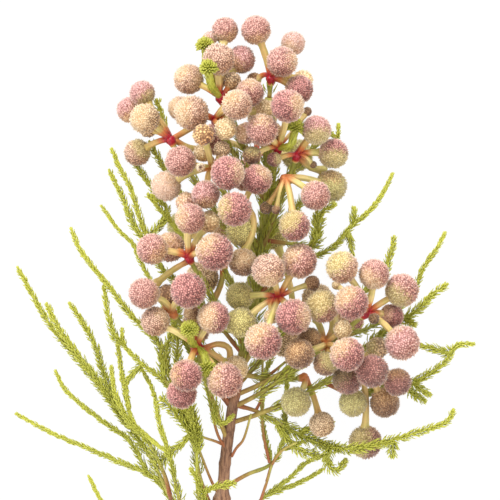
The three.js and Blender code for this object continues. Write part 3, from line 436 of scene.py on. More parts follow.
def growBranches():
    for umbel in umbels.values():
        fork = laid(umbel["fork"])
        start = stemPointAtHeight(umbel["leaves"])
        span = np.linalg.norm(fork - start)
        middle = start + (fork - start) * 0.5
        middle -= np.array([0, span * layout["branchDip"], span * layout["branchBack"]])
        whole = Arc(start, middle, fork)
        end = 1 - (layout["glandRadius"] + layout["jointGap"]) / whole.length
        umbel["wholeBranch"] = whole
        umbel["branch"] = partOfCurve(whole, 0, end)
        umbel["rising"] = whole.direction(1)
        umbel["forkPlace"] = fork


def nearestWood(point, woodCurves):
    best, bestDistance = None, math.inf
    for curve in woodCurves:
        count = math.ceil(curve.length * 2)
        spots = curve.evenly(np.arange(count + 1) / count)
        distances = np.linalg.norm(spots - point, axis=1)
        nearest = int(np.argmin(distances))
        if distances[nearest] < bestDistance:
            best, bestDistance = spots[nearest], distances[nearest]
    return best


def growShoots():
    woodCurves = [stemCurve] + [umbel["branch"] for umbel in umbels.values()]
    for shoot in shoots.values():
        places = [[laid(point) for point in axis] for axis in shoot["axes"]]
        places[0][0] = nearestWood(places[0][0], woodCurves)
        axis = SmoothCurve(places[0])
        shoot["foot"] = partOfCurve(axis, 0, shoot["bare"] / axis.length)
        leafy = (shoot["bare"] + layout["jointGap"]) / axis.length
        shoot["leafy"] = partOfCurve(axis, leafy, 1)
        shoot["forks"] = [SmoothCurve(fork) for fork in places[1:]]
        woodCurves.append(shoot["foot"])


class Ball:
    def __init__(self, centre, radius, owner=None, umbel=None):
        self.centre = np.array(centre, dtype=float)
        self.radius = radius
        self.owner = owner
        self.umbel = umbel


def ballsAlong(curve, radius, owner, start=0, end=1):
    count = max(2, math.ceil(curve.length * (end - start)))
    places = curve.evenly(start + (end - start) * np.arange(count + 1) / count)
    return [Ball(place, radius, owner) for place in places]


def collectWoodBalls():
    balls = ballsAlong(stemCurve, layout["stemMeanRadius"], "stem")
    for name, umbel in umbels.items():
        balls += ballsAlong(umbel["branch"], layout["branchRadius"], "stem", 0, 0.8)
        balls += ballsAlong(umbel["branch"], layout["branchRadius"], name, 0.8, 1)
        balls.append(Ball(umbel["forkPlace"], layout["glandRadius"], name))
    for name, shoot in shoots.items():
        balls += ballsAlong(shoot["foot"], layout["twigRadius"], "stem")
        radius = (layout["shootCore"] + layout["leafReach"]) * shoot["reach"]
        for axis in [shoot["leafy"]] + shoot["forks"]:
            balls += ballsAlong(axis, radius, name)
    return balls


def riseNeeded(one, other):
    need = one.radius + other.radius + layout["headGap"]
    flat = math.hypot(one.centre[0] - other.centre[0], one.centre[1] - other.centre[1])
    return 0 if flat >= need else math.sqrt(need * need - flat * flat)


# Heads slide along Z until each is clear of the others and of the wood
def settleHeads(heads, woodBalls):
    heights = [float(head.centre[2]) for head in heads]
    pairs = []
    for i, one in enumerate(heads):
        for j in range(i + 1, len(heads)):
            rise = riseNeeded(one, heads[j])
            if rise > 0:
                pairs.append((i, j, rise))
    near = []
    for head in heads:
        others = [(riseNeeded(head, ball), float(ball.centre[2]))
                  for ball in woodBalls if ball.owner != head.umbel]
        near.append([(rise, height) for rise, height in others if rise > 0])
    for _ in range(layout["mostRounds"]):
        worst = 0
        for i, j, rise in pairs:
            apart = heights[i] - heights[j]
            short = rise - abs(apart)
            if short > 0:
                way = 1 if apart >= 0 else -1
                heights[i] += way * short / 2
                heights[j] -= way * short / 2
                worst = max(worst, short)
        for i, head in enumerate(heads):
            for rise, height in near[i]:
                apart = heights[i] - height
                short = rise - abs(apart)
                if short > 0:
                    heights[i] += short if apart >= 0 else -short
                    worst = max(worst, short)
            heights[i] = max(heights[i], head.radius - layout["restTrim"])
        if worst < layout["settled"]:
            break
    for head, height in zip(heads, heights):
        head.centre[2] = height


# How far a stalk runs into its neighbours
def crowding(curve, near):
    samples = layout["stalkSamples"]
    at = np.arange(1, samples + 1) / samples
    flare = np.where(at > layout["flareFrom"], layout["peduncleFlare"], 1)
    thick = layout["peduncleRadius"] * flare
    points = curve.at(at)
    distance = np.linalg.norm(points[:, None] - near["centres"][None], axis=2)
    short = near["needs"][None] + thick[:, None] - distance
    isOwn = (at[:, None] < layout["ownWoodTo"]) & near["ownWood"][None]
    counted = (short > 0) & ~isOwn
    return float(np.sum(np.where(counted, short * near["weights"][None], 0)))


def nearObstacles(head, fork, obstacles):
    reach = layout["bendStep"] * layout["bendSteps"] + layout["bendNear"]
    low = np.minimum(head.centre, fork) - reach
    high = np.maximum(head.centre, fork) + reach
    chosen = [ball for ball in obstacles if ball is not head
              and np.all(ball.centre > low) and np.all(ball.centre < high)]
    isOwn = np.array([head.umbel in (ball.umbel, ball.owner) for ball in chosen])
    return {
        "centres": np.array([ball.centre for ball in chosen]),
        "needs": np.array([ball.radius for ball in chosen]) + np.where(isOwn, 0, layout["headGap"]),
        "weights": np.where(isOwn, layout["ownWeight"], 1),
        "ownWood": np.array([ball.owner == head.umbel for ball in chosen]),
    }


# A stalk bends round whatever lies between its fork and its head
def bendStalk(head, fork, rising, obstacles):
    reach = head.centre - fork
    length = np.linalg.norm(reach)
    along = reach / length
    end = head.centre - along * head.radius * layout["peduncleSink"]
    side = np.array([-along[1], along[0], 0])
    side = unit(side) if np.linalg.norm(side) >= 0.1 else np.array([1, 0, 0])
    over = unit(np.cross(along, side))
    middle = fork + reach * layout["peduncleMiddle"] + rising * (length * layout["peduncleRise"])
    near = nearObstacles(head, fork, obstacles)
    best, bestCost = None, math.inf
    for size in range(layout["bendSteps"] + 1):
        for turn in range(1 if size == 0 else layout["bendWays"]):
            angle = turn / layout["bendWays"] * 2 * math.pi
            aside = side * math.cos(angle) + over * math.sin(angle)
            curve = Arc(fork, middle + aside * (size * layout["bendStep"]), end)
            cost = crowding(curve, near) + size * layout["bendCost"]
            if cost < bestCost - 1e-6:
                best, bestCost = curve, cost
    return best


def placeHeads():
    woodBalls = collectWoodBalls()
    heads = [Ball(laid(row), row[3], umbel=name)
             for name, umbel in umbels.items() for row in umbel["heads"]]
    settleHeads(heads, woodBalls)
    obstacles = heads + woodBalls
    for name, umbel in umbels.items():
        umbel["placed"] = []
        kinds = [row[4:] for row in umbel["heads"]]
        own = [head for head in heads if head.umbel == name]
        for head, kind in zip(own, kinds):
            curve = bendStalk(head, umbel["forkPlace"], umbel["rising"], obstacles)
            obstacles += ballsAlong(curve, layout["peduncleRadius"], name, 0.1, 0.9)
            umbel["placed"].append((head, curve, kind))


growBranches()
growShoots()
placeHeads()
print("heads placed:", sum(len(umbel["placed"]) for umbel in umbels.values()))


# Shapes. Blender's own operators make each one once, and every use places a copy of it.
class Shape:
    def __init__(self, bm):
        bm.verts.index_update()
        self.corners = np.array([vert.co for vert in bm.verts])
        self.sizes = [len(face.verts) for face in bm.faces]
        self.loops = np.array([vert.index for face in bm.faces for vert in face.verts])
        bm.free()

    def times(self, count):
        # The same shape many times over
        many = copy.copy(self)
        many.loops = (self.loops[None] + (np.arange(count) * len(self.corners))[:, None]).ravel()
        many.sizes = self.sizes * count
        return many


trianglesMade = {}               # of each piece


class Piece:
    # Gathers shapes into one mesh, with named numbers and colours on its corners
    def __init__(self, name):
        self.name = name
        self.places, self.loops, self.sizes = [], [], []
        self.numbers = {}
        self.count = 0

    def add(self, shape, places, **numbers):
        self.places.append(places)
        self.loops.append(shape.loops + self.count)
        self.sizes += shape.sizes
        self.count += len(places)
        for key, values in numbers.items():
            values = np.asarray(values, dtype=float)
            if values.ndim == 0 or (values.ndim == 1 and len(values) == 3 != len(places)):
                values = np.broadcast_to(values, (len(places),) + values.shape)
            self.numbers.setdefault(key, []).append(values)

    def finish(self, node, material):
        places = (np.vstack(self.places) + np.array(layout["originShift"])) / 1000
        places[:, 2] = np.maximum(places[:, 2], 0)
        loops = np.concatenate(self.loops)
        sizes = np.array(self.sizes)
        mesh = bpy.data.meshes.new(self.name)
        mesh.vertices.add(len(places))
        mesh.vertices.foreach_set("co", places.ravel())
        mesh.loops.add(len(loops))
        mesh.loops.foreach_set("vertex_index", loops)
        mesh.polygons.add(len(sizes))
        mesh.polygons.foreach_set("loop_start", np.concatenate([[0], np.cumsum(sizes)[:-1]]))
        mesh.update(calc_edges=True)
        mesh.polygons.foreach_set("use_smooth", np.ones(len(sizes), dtype=bool))
        for key, values in self.numbers.items():
            values = np.concatenate(values)
            if values.ndim == 1:
                layer = mesh.attributes.new(key, "FLOAT", "POINT")
                layer.data.foreach_set("value", values)
            else:
                layer = mesh.attributes.new(key, "FLOAT_COLOR", "POINT")
                opaque = np.hstack([values, np.ones((len(values), 1))])
                layer.data.foreach_set("color", opaque.ravel())
        mesh.materials.append(material)
        trianglesMade[self.name] = len(loops) - 2 * len(sizes)
        piece = bpy.data.objects.new(self.name, mesh)
        bpy.context.scene.collection.objects.link(piece)
        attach(piece, "root")
        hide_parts(node)
        return piece


shapeStore = {}


# A grid rolled into a closed tube: rings along X, corners round it, a pole at either end
def tubeShape(rings, sides):
    key = (rings, sides)
    if key not in shapeStore:
        bm = bmesh.new()
        bmesh.ops.create_grid(bm, x_segments=rings, y_segments=sides, size=0.5)
        for vert in bm.verts:
            ring = round((vert.co.x + 0.5) * rings)
            turn = (vert.co.y + 0.5) * 2 * math.pi
            radius = 0 if ring in (0, rings) else 1
            vert.co = (ring, radius * math.cos(turn), radius * math.sin(turn))
        bmesh.ops.remove_doubles(bm, verts=bm.verts, dist=0.001)
        bmesh.ops.recalc_face_normals(bm, faces=bm.faces)
        shape = Shape(bm)
        shape.ring = np.round(shape.corners[:, 0]).astype(int)
        shape.across = shape.corners[:, 1:]
        shape.turn = np.arctan2(shape.across[:, 1], shape.across[:, 0])
        shape.rings = rings
        shapeStore[key] = shape
    return shapeStore[key]


# A ball whose first corners are the florets' middles, with the gaps half way between them
def floretShape(fineness):
    key = ("florets", fineness)
    if key not in shapeStore:
        bm = bmesh.new()
        bmesh.ops.create_icosphere(bm, subdivisions=fineness, radius=1)
        middles = len(bm.verts)
        bmesh.ops.subdivide_edges(bm, edges=bm.edges, cuts=1, use_grid_fill=True)
        shape = Shape(bm)
        lengths = np.linalg.norm(shape.corners, axis=1)
        shape.corners = shape.corners / lengths[:, None]
        shape.isFloret = np.arange(len(shape.corners)) < middles
        shapeStore[key] = shape
    return shapeStore[key]


# Frames that turn as little as they can along a run of points
def framesAlong(points):
    tangents = np.gradient(points, axis=0)
    tangents /= np.linalg.norm(tangents, axis=1)[:, None]
    least = np.argmin(np.abs(tangents[0]))
    normal = unit(np.cross(tangents[0], np.eye(3)[least]))
    normals = []
    for tangent in tangents:
        normal = unit(normal - tangent * np.dot(normal, tangent))
        normals.append(normal)
    normals = np.array(normals)
    return tangents, normals, np.cross(tangents, normals)


# Bends a tube along a curve. radii holds one number for each ring and may hold one for each corner.
def bendTube(shape, points, radii):
    tangents, normals, binormals = framesAlong(points)
    ring = shape.ring
    radius = radii if len(radii) == len(ring) else radii[ring]
    across = shape.across * radius[:, None]
    return points[ring] + normals[ring] * across[:, :1] + binormals[ring] * across[:, 1:]


# How far along a curve each ring of a tube lies, with its two poles on the curve's ends
def ringShares(rings):
    return np.clip((np.arange(rings + 1) - 1) / (rings - 2), 0, 1)


# Keeps the two rings at a tube's end a hair apart
def partEnds(points):
    points[0] -= unit(points[2] - points[1]) * 0.01
    points[-1] += unit(points[-2] - points[-3]) * 0.01


def unitRows(vectors):
    return vectors / np.linalg.norm(vectors, axis=1)[:, None]


def spread(low, high, share):
    return low + (high - low) * share


def smoothStep(low, high, value):
    share = np.clip((value - low) / (high - low), 0, 1)
    return share * share * (3 - 2 * share)


def linear(*shades):
    return np.array([(shade / 255 / 12.92) if shade <= 10 else ((shade / 255 + 0.055) / 1.055) ** 2.4
                     for shade in shades])


# Materials
class Term:
    # An output of a node; arithmetic on it adds Math nodes
    def __init__(self, material, socket):
        self.material, self.socket = material, socket

    def combine(self, operation, *others):
        return self.material.math(operation, self, *others)

    def __add__(self, other):
        return self.combine("ADD", other)

    def __radd__(self, other):
        return self.combine("ADD", other)

    def __sub__(self, other):
        return self.combine("SUBTRACT", other)

    def __rsub__(self, other):
        return self.material.math("SUBTRACT", other, self)

    def __mul__(self, other):
        return self.combine("MULTIPLY", other)

    def __rmul__(self, other):
        return self.combine("MULTIPLY", other)

    def clamped(self):
        return self.material.node("ShaderNodeClamp", {"Value": self})

    def between(self, low, high):
        inputs = {"Value": self, "From Min": low, "From Max": high}
        return self.material.node("ShaderNodeMapRange", inputs, interpolation_type="SMOOTHSTEP")


class Finish:
    # A material on one Principled shader
    def __init__(self, name, **fixed):
        self.made = bpy.data.materials.new(name)
        self.made.use_nodes = True
        self.tree = self.made.node_tree
        self.shader = self.tree.nodes["Principled BSDF"]
        for key, value in fixed.items():
            self.shader.inputs[key.replace("_", " ")].default_value = value

    def feed(self, socket, value):
        if isinstance(value, Term):
            self.tree.links.new(value.socket, socket)
        else:
            socket.default_value = value

    def node(self, kind, inputs=None, output=0, **settings):
        node = self.tree.nodes.new(kind)
        for key, value in settings.items():
            setattr(node, key, value)
        for key, value in (inputs or {}).items():
            self.feed(node.inputs[key], value)
        return Term(self, node.outputs[output])

    def math(self, operation, *values):
        return self.node("ShaderNodeMath", dict(enumerate(values)), operation=operation)

    def number(self, name):
        return self.node("ShaderNodeAttribute", output="Fac", attribute_name=name)

    def colour(self, name):
        return self.node("ShaderNodeAttribute", output="Color", attribute_name=name)

    def mix(self, share, first, second, kind="MIX"):
        ready = [value if isinstance(value, Term) else (*value, 1) for value in (first, second)]
        inputs = {0: share, 6: ready[0], 7: ready[1]}
        return self.node("ShaderNodeMix", inputs, output=2, data_type="RGBA", blend_type=kind)

    def grain(self, size, detail=3, roughness=0.6):
        place = self.node("ShaderNodeTexCoord", output="Object")
        inputs = {"Vector": place, "Scale": 1000 / size, "Detail": detail, "Roughness": roughness}
        return self.node("ShaderNodeTexNoise", inputs, noise_dimensions="3D")

    def bump(self, height, depth):
        return self.node("ShaderNodeBump", {"Height": height, "Distance": depth / 1000, "Strength": 1})

    def wear(self, name, value):
        self.feed(self.shader.inputs[name], value)


# Florets. Each tone holds the colour painted on the lit side and on the shaded side (painted light and
# shade, falling as the key light does), of the tips and of the gaps, and the patch colour that its rim
# and its stalk side have.
headTones = {
    "mauve": ((232, 177, 164), (190, 132, 106), (250, 214, 200), (134, 72, 62), "cream"),
    "rose": ((234, 180, 174), (198, 146, 124), (254, 224, 212), (158, 94, 82), "cream"),
    "plum": ((218, 152, 144), (168, 106, 90), (244, 200, 188), (108, 50, 48), "cream"),
    "tanpink": ((240, 198, 174), (192, 140, 102), (252, 222, 192), (136, 84, 58), "cream"),
    "pinkcream": ((230, 198, 190), (212, 172, 150), (252, 226, 208), (170, 120, 98), "cream"),
    "pale": ((224, 194, 172), (250, 222, 198), (250, 234, 218), (204, 164, 138), "cream"),
    "sand": ((250, 228, 184), (236, 204, 148), (254, 242, 206), (172, 134, 84), "cream"),
    "tan": ((242, 212, 172), (222, 182, 134), (248, 228, 188), (140, 100, 66), "tan"),
    "orange": ((236, 194, 134), (204, 148, 92), (252, 224, 164), (122, 68, 38), "tan"),
    "brown": ((184, 144, 106), (134, 98, 70), (216, 176, 136), (92, 60, 42), "tan"),
    "olive": ((216, 208, 140), (182, 164, 104), (224, 212, 158), (146, 130, 80), "green"),
    "green": ((232, 218, 142), (230, 214, 136), (228, 218, 152), (142, 128, 70), "green"),
    "purple": ((185, 127, 115), (137, 95, 78), (226, 180, 170), (90, 54, 50), "tan"),
    "dark": ((176, 138, 100), (126, 94, 66), (200, 164, 122), (82, 56, 38), "moss"),
    "nub": ((252, 236, 206), (240, 214, 172), (254, 246, 226), (196, 154, 108), "cream"),
}
# The colours of florets, tips and gaps where a head is still unripe
patchTones = {
    "cream": ((234, 208, 168), (248, 230, 196), (192, 152, 108)),
    "yellow": ((222, 208, 142), (238, 228, 176), (176, 154, 88)),
    "green": ((206, 192, 130), (222, 212, 158), (156, 140, 84)),
    "tan": ((230, 190, 138), (246, 216, 166), (160, 116, 74)),
    "moss": ((138, 121, 74), (170, 156, 102), (84, 71, 44)),
}
patchSides = {
    "left": (-0.88, 0.1, 0.45), "right": (0.88, 0.1, 0.45),
    "high": (0, 0.88, 0.45), "low": (0, -0.88, 0.45),
    "highLeft": (-0.64, 0.62, 0.45), "highRight": (0.64, 0.62, 0.45),
    "lowLeft": (-0.64, -0.62, 0.45), "lowRight": (0.64, -0.62, 0.45),
}
headLook = {
    # painted light: the way the lit side of every head faces, towards the key light
    "paintedLightSide": (-0.55, 0.65, 0.5),
    "paintedLitGaps": 0.15,           # how pale the gaps are painted on the lit side: painted light
    # painted shade: darkens the gaps between the florets beyond their own darker colour
    "gapPaintedShade": 0.58,
    "softGapPaintedShade": 0.95,        # of the heads whose florets stand out less
    "soft": ("green", "olive", "dark", "brown", "purple", "pale", "pinkcream", "sand"),
    "paintedLightEdges": (-0.55, 0.8),    # where the painted lit side starts and is complete
    "rimShare": 0.5,             # how pale a head is below its middle: partly unripe florets, partly painted rim light
    "rimEdges": (0.45, -0.4),
    "stalkShare": 0.6,           # and round its stalk
    "stalkEdges": (0.45, 0.95),
    "unevenEdges": 0.16,
    "patchFrom": 1.05,           # where a patch's edge is when it covers nothing
    "patchReach": 1.7,           # how far the edge of a whole one lies from there
    "patchEdge": 0.28,           # softness of a patch's edge
    "patchShare": 0.8,
    "fineFrom": 3.2,             # heads from this radius have 642 florets, smaller ones 162
    "depth": 0.14,               # of the gaps, as a share of the head's radius
    "floretPitch": 3.6,          # distance of the florets times the root of their number
    "openShare": 0.68,           # of the florets; the others are still low buds
    "openRise": (0.65, 1),
    "budRise": (0.15, 0.5),
    "gapRise": (0, 0.22),
    "unevenHeight": 0.03,
    "unevenPlace": 0.26,         # as a share of the florets' distance
    "hairs": 90,                 # on a head of 4 mm
    "hairLength": 0.32,
    "hairWidth": 0.055,
    "hairRoots": 0.93,           # as a share of the head's radius
    "hairDepth": 0.07,
    "hairLean": 0.3,
    "hairTone": (240, 214, 184),
    "hollow": 0.55,              # depth of the dead head's hollow, as a share of its radius
    "hollowSide": (0.1, -0.05, 1),
    "hollowEdges": (0.72, 0.94),
    "hollowTone": (96, 62, 44),
    "seed": 11,
}


# A turn that is even over all directions
def evenTurn(turner):
    turn = np.array([turner.gauss(0, 1) for _ in range(4)])
    w, x, y, z = unit(turn)
    return np.array([
        [1 - 2 * (y * y + z * z), 2 * (x * y - z * w), 2 * (x * z + y * w)],
        [2 * (x * y + z * w), 1 - 2 * (x * x + z * z), 2 * (y * z - x * w)],
        [2 * (x * z - y * w), 2 * (y * z + x * w), 1 - 2 * (x * x + y * y)],
    ])


# How pale the florets are in each direction: the unripe patch and stalk side, and the rim below the middle,
# partly unripe and partly painted rim light
def unripeAndRimLight(directions, curve, patch, draw):
    look = headLook
    uneven = draw.normal(0, look["unevenEdges"], len(directions))
    # partly unripe, partly painted rim light: paler where the head turns down, away from above
    belowPaleAndRimLight = look["rimShare"] * smoothStep(*look["rimEdges"], directions[:, 2] + uneven)
    stalkWay = uneven - directions @ curve.direction(1)
    nearStalk = look["stalkShare"] * smoothStep(*look["stalkEdges"], stalkWay)
    rim = np.maximum(belowPaleAndRimLight, nearStalk)
    if not patch:
        return rim, np.zeros(len(directions))
    edge = look["patchFrom"] - look["patchReach"] * patch[1]
    soft = look["patchEdge"]
    across = directions @ unit(np.array(patchSides[patch[0]])) + uneven
    return rim, look["patchShare"] * smoothStep(edge - soft, edge + soft, across)


def addHead(piece, head, curve, kind, draw, turner):
    look = headLook
    shape = floretShape(4 if head.radius >= look["fineFrom"] else 3)
    count = len(shape.corners)
    pitch = look["floretPitch"] / math.sqrt(np.sum(shape.isFloret))
    directions = shape.corners @ evenTurn(turner).T
    nudge = draw.normal(0, 1, (count, 3)) * pitch * look["unevenPlace"]
    directions = unitRows(directions + nudge * np.where(shape.isFloret, 1, 0.5)[:, None])
    isOpen = draw.uniform(0, 1, count) < look["openShare"]
    opened = np.where(isOpen, draw.uniform(*look["openRise"], count),
                      draw.uniform(*look["budRise"], count))
    rise = np.where(shape.isFloret, opened, draw.uniform(*look["gapRise"], count))
    uneven = draw.normal(0, look["unevenHeight"], count) * np.where(shape.isFloret, 1, 0.3)
    height = 1 - look["depth"] * (1 - rise) + np.minimum(uneven, look["unevenHeight"])
    tone, patch = kind[0], kind[1:]
    paintedLitColour, paintedShadeColour, tip, gap, rimTone = headTones[tone]
    # Painted light and shade: the lit colour towards the key light, the shaded colour away from it
    sun = smoothStep(*look["paintedLightEdges"], directions @ unit(np.array(look["paintedLightSide"])) + uneven * 3)
    gapPaintedShade = look["softGapPaintedShade" if tone in look["soft"] else "gapPaintedShade"]
    shades = [spread(linear(*paintedShadeColour), linear(*paintedLitColour), sun[:, None]), linear(*tip),
              linear(*gap) * gapPaintedShade]
    # painted light: the gaps are painted paler on the lit side
    shades[2] = spread(shades[2], shades[0], look["paintedLitGaps"] * sun[:, None])
    rim, patched = unripeAndRimLight(directions, curve, patch, draw)
    for share, name in ((rim, rimTone), (patched, patch[2] if patch else rimTone)):
        pale = [linear(*shade) for shade in patchTones[name]]
        shades = [spread(old, new, share[:, None]) for old, new in zip(shades, pale)]
    if tone == "nub":
        hollow = smoothStep(*look["hollowEdges"], directions @ unit(np.array(look["hollowSide"])))
        height = height - look["hollow"] * hollow
        dead = linear(*look["hollowTone"])
        shades = [spread(shade, dead, hollow[:, None]) for shade in shades]
    places = head.centre + directions * (head.radius * height)[:, None]
    piece.add(shape, places, rise=rise, vary=draw.uniform(0, 1, count),
              body=shades[0], tip=shades[1], gap=shades[2])
    addHairs(piece, head, draw)


# Fine pale hairs that stand out between the florets
def addHairs(piece, head, draw):
    look = headLook
    if "hair" not in shapeStore:
        bm = bmesh.new()
        bmesh.ops.create_cone(bm, segments=3, radius1=1, radius2=0, depth=1, cap_ends=True)
        bmesh.ops.remove_doubles(bm, verts=bm.verts, dist=0.001)
        shapeStore["hair"] = Shape(bm)
    shape = shapeStore["hair"]
    count = round(look["hairs"] * (head.radius / 4) ** 2)
    out = unitRows(draw.normal(0, 1, (count, 3)))
    roots = head.centre + out * head.radius * look["hairRoots"]
    out = unitRows(out + draw.normal(0, look["hairLean"], (count, 3)))
    side = unitRows(np.cross(out, draw.normal(0, 1, (count, 3))))
    over = np.cross(out, side)
    lengths = look["hairDepth"] * head.radius + look["hairLength"] * draw.uniform(0.4, 1, count)
    x, y, z = shape.corners.T
    wide = look["hairWidth"]
    places = (roots[:, None] + side[:, None] * (x * wide)[None, :, None]
              + over[:, None] * (y * wide)[None, :, None]
              + out[:, None] * ((z + 0.5)[None] * lengths[:, None])[..., None])
    tone = linear(*look["hairTone"])
    piece.add(shape.times(count), places.reshape(-1, 3), rise=1, vary=0.5, body=tone, tip=tone, gap=tone)


def floretFinish():
    skin = Finish("florets", Roughness=0.85, Sheen_Weight=0.3, Sheen_Roughness=0.45)
    grain = skin.grain(0.4)
    lift = (skin.number("rise") + 0.5 * (grain - 0.5) + 0.25 * (skin.number("vary") - 0.5)).clamped()
    # The gaps take their darker colour and the tips their paler one: partly the florets' own colours,
    # partly painted shade in the gaps and a painted highlight on the tips
    low = skin.mix(lift.between(0.05, 0.5), skin.colour("gap"), skin.colour("body"))
    skin.wear("Base Color", skin.mix(lift.between(0.55, 0.95), low, skin.colour("tip")))
    skin.wear("Normal", skin.bump(grain, 0.08))
    return skin.made


# Stalks and glands
stalkLook = {
    "sides": 10,
    "ringStep": 0.8,
    "thickness": 1.36,           # beside the plain stalk
    "smallStalk": 0.3,           # thickness of a stalk to a head of no size, beside a full head's
    "fullHead": 3,
    "footWidth": 0.15,           # how much thicker a stalk is at its foot
    "uneven": 0.035,
    "ridges": (0.93, 1.05),
    "redEdges": (0.6, 4.4),      # where the red at a stalk's foot starts to fade and has gone, in mm
    "flareFrom": 0.8,
    "flare": 1.55,
    "tan": linear(212, 170, 102),
    "yellow": linear(232, 208, 140),
    "green": linear(188, 184, 92),
    "orange": linear(206, 120, 66),
    "crimson": linear(178, 26, 46),
    "glandRadius": 1.22,
    "glandBefore": 2.3,          # how far a gland reaches down its branch, in mm
    "glandBeyond": 0.75,
    "glandFoot": 0.62,           # its size where it starts, beside its full size
    "glandRoundFrom": 0.72,      # from where along it its top rounds off
    "wrinkles": 4,
    "wrinkleDepth": 0.07,
    "largeGlands": {"umbel_lower_left": 1.3, "umbel_far_right": 1.15},
    "thickStalks": {"umbel_upper_right": 1.1, "umbel_crown_right": 1.1},
    "greenishRedness": 0.45,     # of the stalks and glands of the umbels below; the others have 1
    "greenish": ("umbel_centre", "umbel_far_left", "umbel_lower_right", "umbel_low_edge",
                 "umbel_bottom", "umbel_right_shoulder", "umbel_upper_left"),
    "backRedness": 0.4,
}
# Stalks that run to the back of an umbel, where no head of its own ends them
backStalks = {
    "umbel_upper_far_left": [
        [(-19.2, 27.9, 27), (-16.5, 29.6, 25), (-13.2, 31.6, 23)],
        [(-19, 27.5, 27), (-15.2, 25.6, 24), (-11, 25.2, 21)],
    ],
    "umbel_lower_left": [
        [(-11.6, -24.6, 33), (-8, -23.4, 32), (-5.4, -24.4, 31), (-5, -29, 30)],
    ],
    "umbel_left": [[(-14.6, -2.4, 34), (-19, -4.9, 33), (-23.6, -8.6, 33)]],
    "umbel_lower_right": [
        [(18.5, -23.2, 30), (18, -20.5, 28), (16.8, -17.4, 25)],
        [(18.7, -23.2, 30), (20.4, -20, 28), (20.8, -17.2, 26)],
    ],
    "umbel_upper_right": [[(12, 23.4, 31), (15, 20.8, 28), (18.6, 19.8, 25)]],
}


def addStalk(piece, headRadius, curve, name, redness, draw):
    look = stalkLook
    rings = max(8, round(curve.length / look["ringStep"]))
    shape = tubeShape(rings, look["sides"])
    along = ringShares(rings)
    points = curve.evenly(along)
    partEnds(points)
    thick = layout["peduncleRadius"] * look["thickness"]
    thick *= min(1, spread(look["smallStalk"], 1, headRadius / look["fullHead"]))
    thick *= look["thickStalks"].get(name, 1)
    widen = spread(0.85, 1.02, along) + (look["flare"] - 1) * smoothStep(look["flareFrom"], 1, along)
    widen += look["footWidth"] * (1 - smoothStep(0, 0.2, along))
    radii = thick * widen * (1 + draw.normal(0, look["uneven"], rings + 1))
    low, high = look["ridges"]
    ridge = np.where(np.round(shape.turn / (2 * math.pi) * look["sides"]) % 2 == 0, high, low)
    places = bendTube(shape, points, radii[shape.ring] * ridge)
    far = along * curve.length
    red = redness * (1 - smoothStep(*look["redEdges"], far))
    piece.add(shape, places, along=along[shape.ring], rise=(ridge - low) * 8,
              red=red[shape.ring], vary=np.full(len(places), draw.uniform()))


def addGland(piece, umbel, name, redness, draw):
    look = stalkLook
    whole = umbel["wholeBranch"]
    rings = 14
    share = np.arange(rings + 1) / rings
    reach = spread(-look["glandBefore"], look["glandBeyond"], share)
    points = whole.evenly(np.clip(1 + reach / whole.length, 0, 1))
    points += umbel["rising"] * np.maximum(reach, 0)[:, None]
    shape = tubeShape(rings, 12)
    profile = spread(look["glandFoot"], 1, smoothStep(0, 0.6, share))
    roundFrom = look["glandRoundFrom"]
    profile *= np.sqrt(np.clip(1 - np.clip((share - roundFrom) / (1 - roundFrom), 0, 1) ** 2, 0, 1))
    profile *= look["glandRadius"] * look["largeGlands"].get(name, 1)
    wrinkle = 1 + look["wrinkleDepth"] * np.sin(shape.turn * look["wrinkles"] + shape.ring * 0.9)
    places = bendTube(shape, points, profile[shape.ring] * wrinkle)
    red = redness * smoothStep(0.05, 0.4, share)[shape.ring]
    piece.add(shape, places, along=np.zeros(len(places)), rise=(wrinkle - 1 + look["wrinkleDepth"]) * 8,
              red=red, vary=np.full(len(places), draw.uniform()))


def stalkFinish():
    look = stalkLook
    skin = Finish("stalks")
    grain = skin.grain(0.5)
    vary = skin.number("vary")
    base = skin.mix(vary.between(0.1, 0.8), look["tan"], look["yellow"])
    base = skin.mix(skin.grain(4).between(0.4, 0.7) * 0.7, base, look["green"])
    # painted shade: the grooves between the stalk's ridges and between a gland's wrinkles are painted
    # darker, and the grain mottles it
    shade = (0.78 + 0.22 * skin.number("rise") + 0.25 * (grain - 0.5)).clamped()
    red = skin.mix(grain.between(0.3, 0.7), look["crimson"] * 0.6, look["crimson"] * 1.2)
    base = skin.mix(skin.number("red").between(0, 0.5), base, look["orange"])
    base = skin.mix(skin.number("red").between(0.45, 1), base, red)
    grey = skin.node("ShaderNodeCombineColor", {0: shade, 1: shade, 2: shade})
    skin.wear("Base Color", skin.mix(1.0, base, grey, kind="MULTIPLY"))
    skin.wear("Roughness", 0.6 - 0.25 * skin.number("red"))
    skin.wear("Normal", skin.bump(grain, 0.06))
    return skin.made


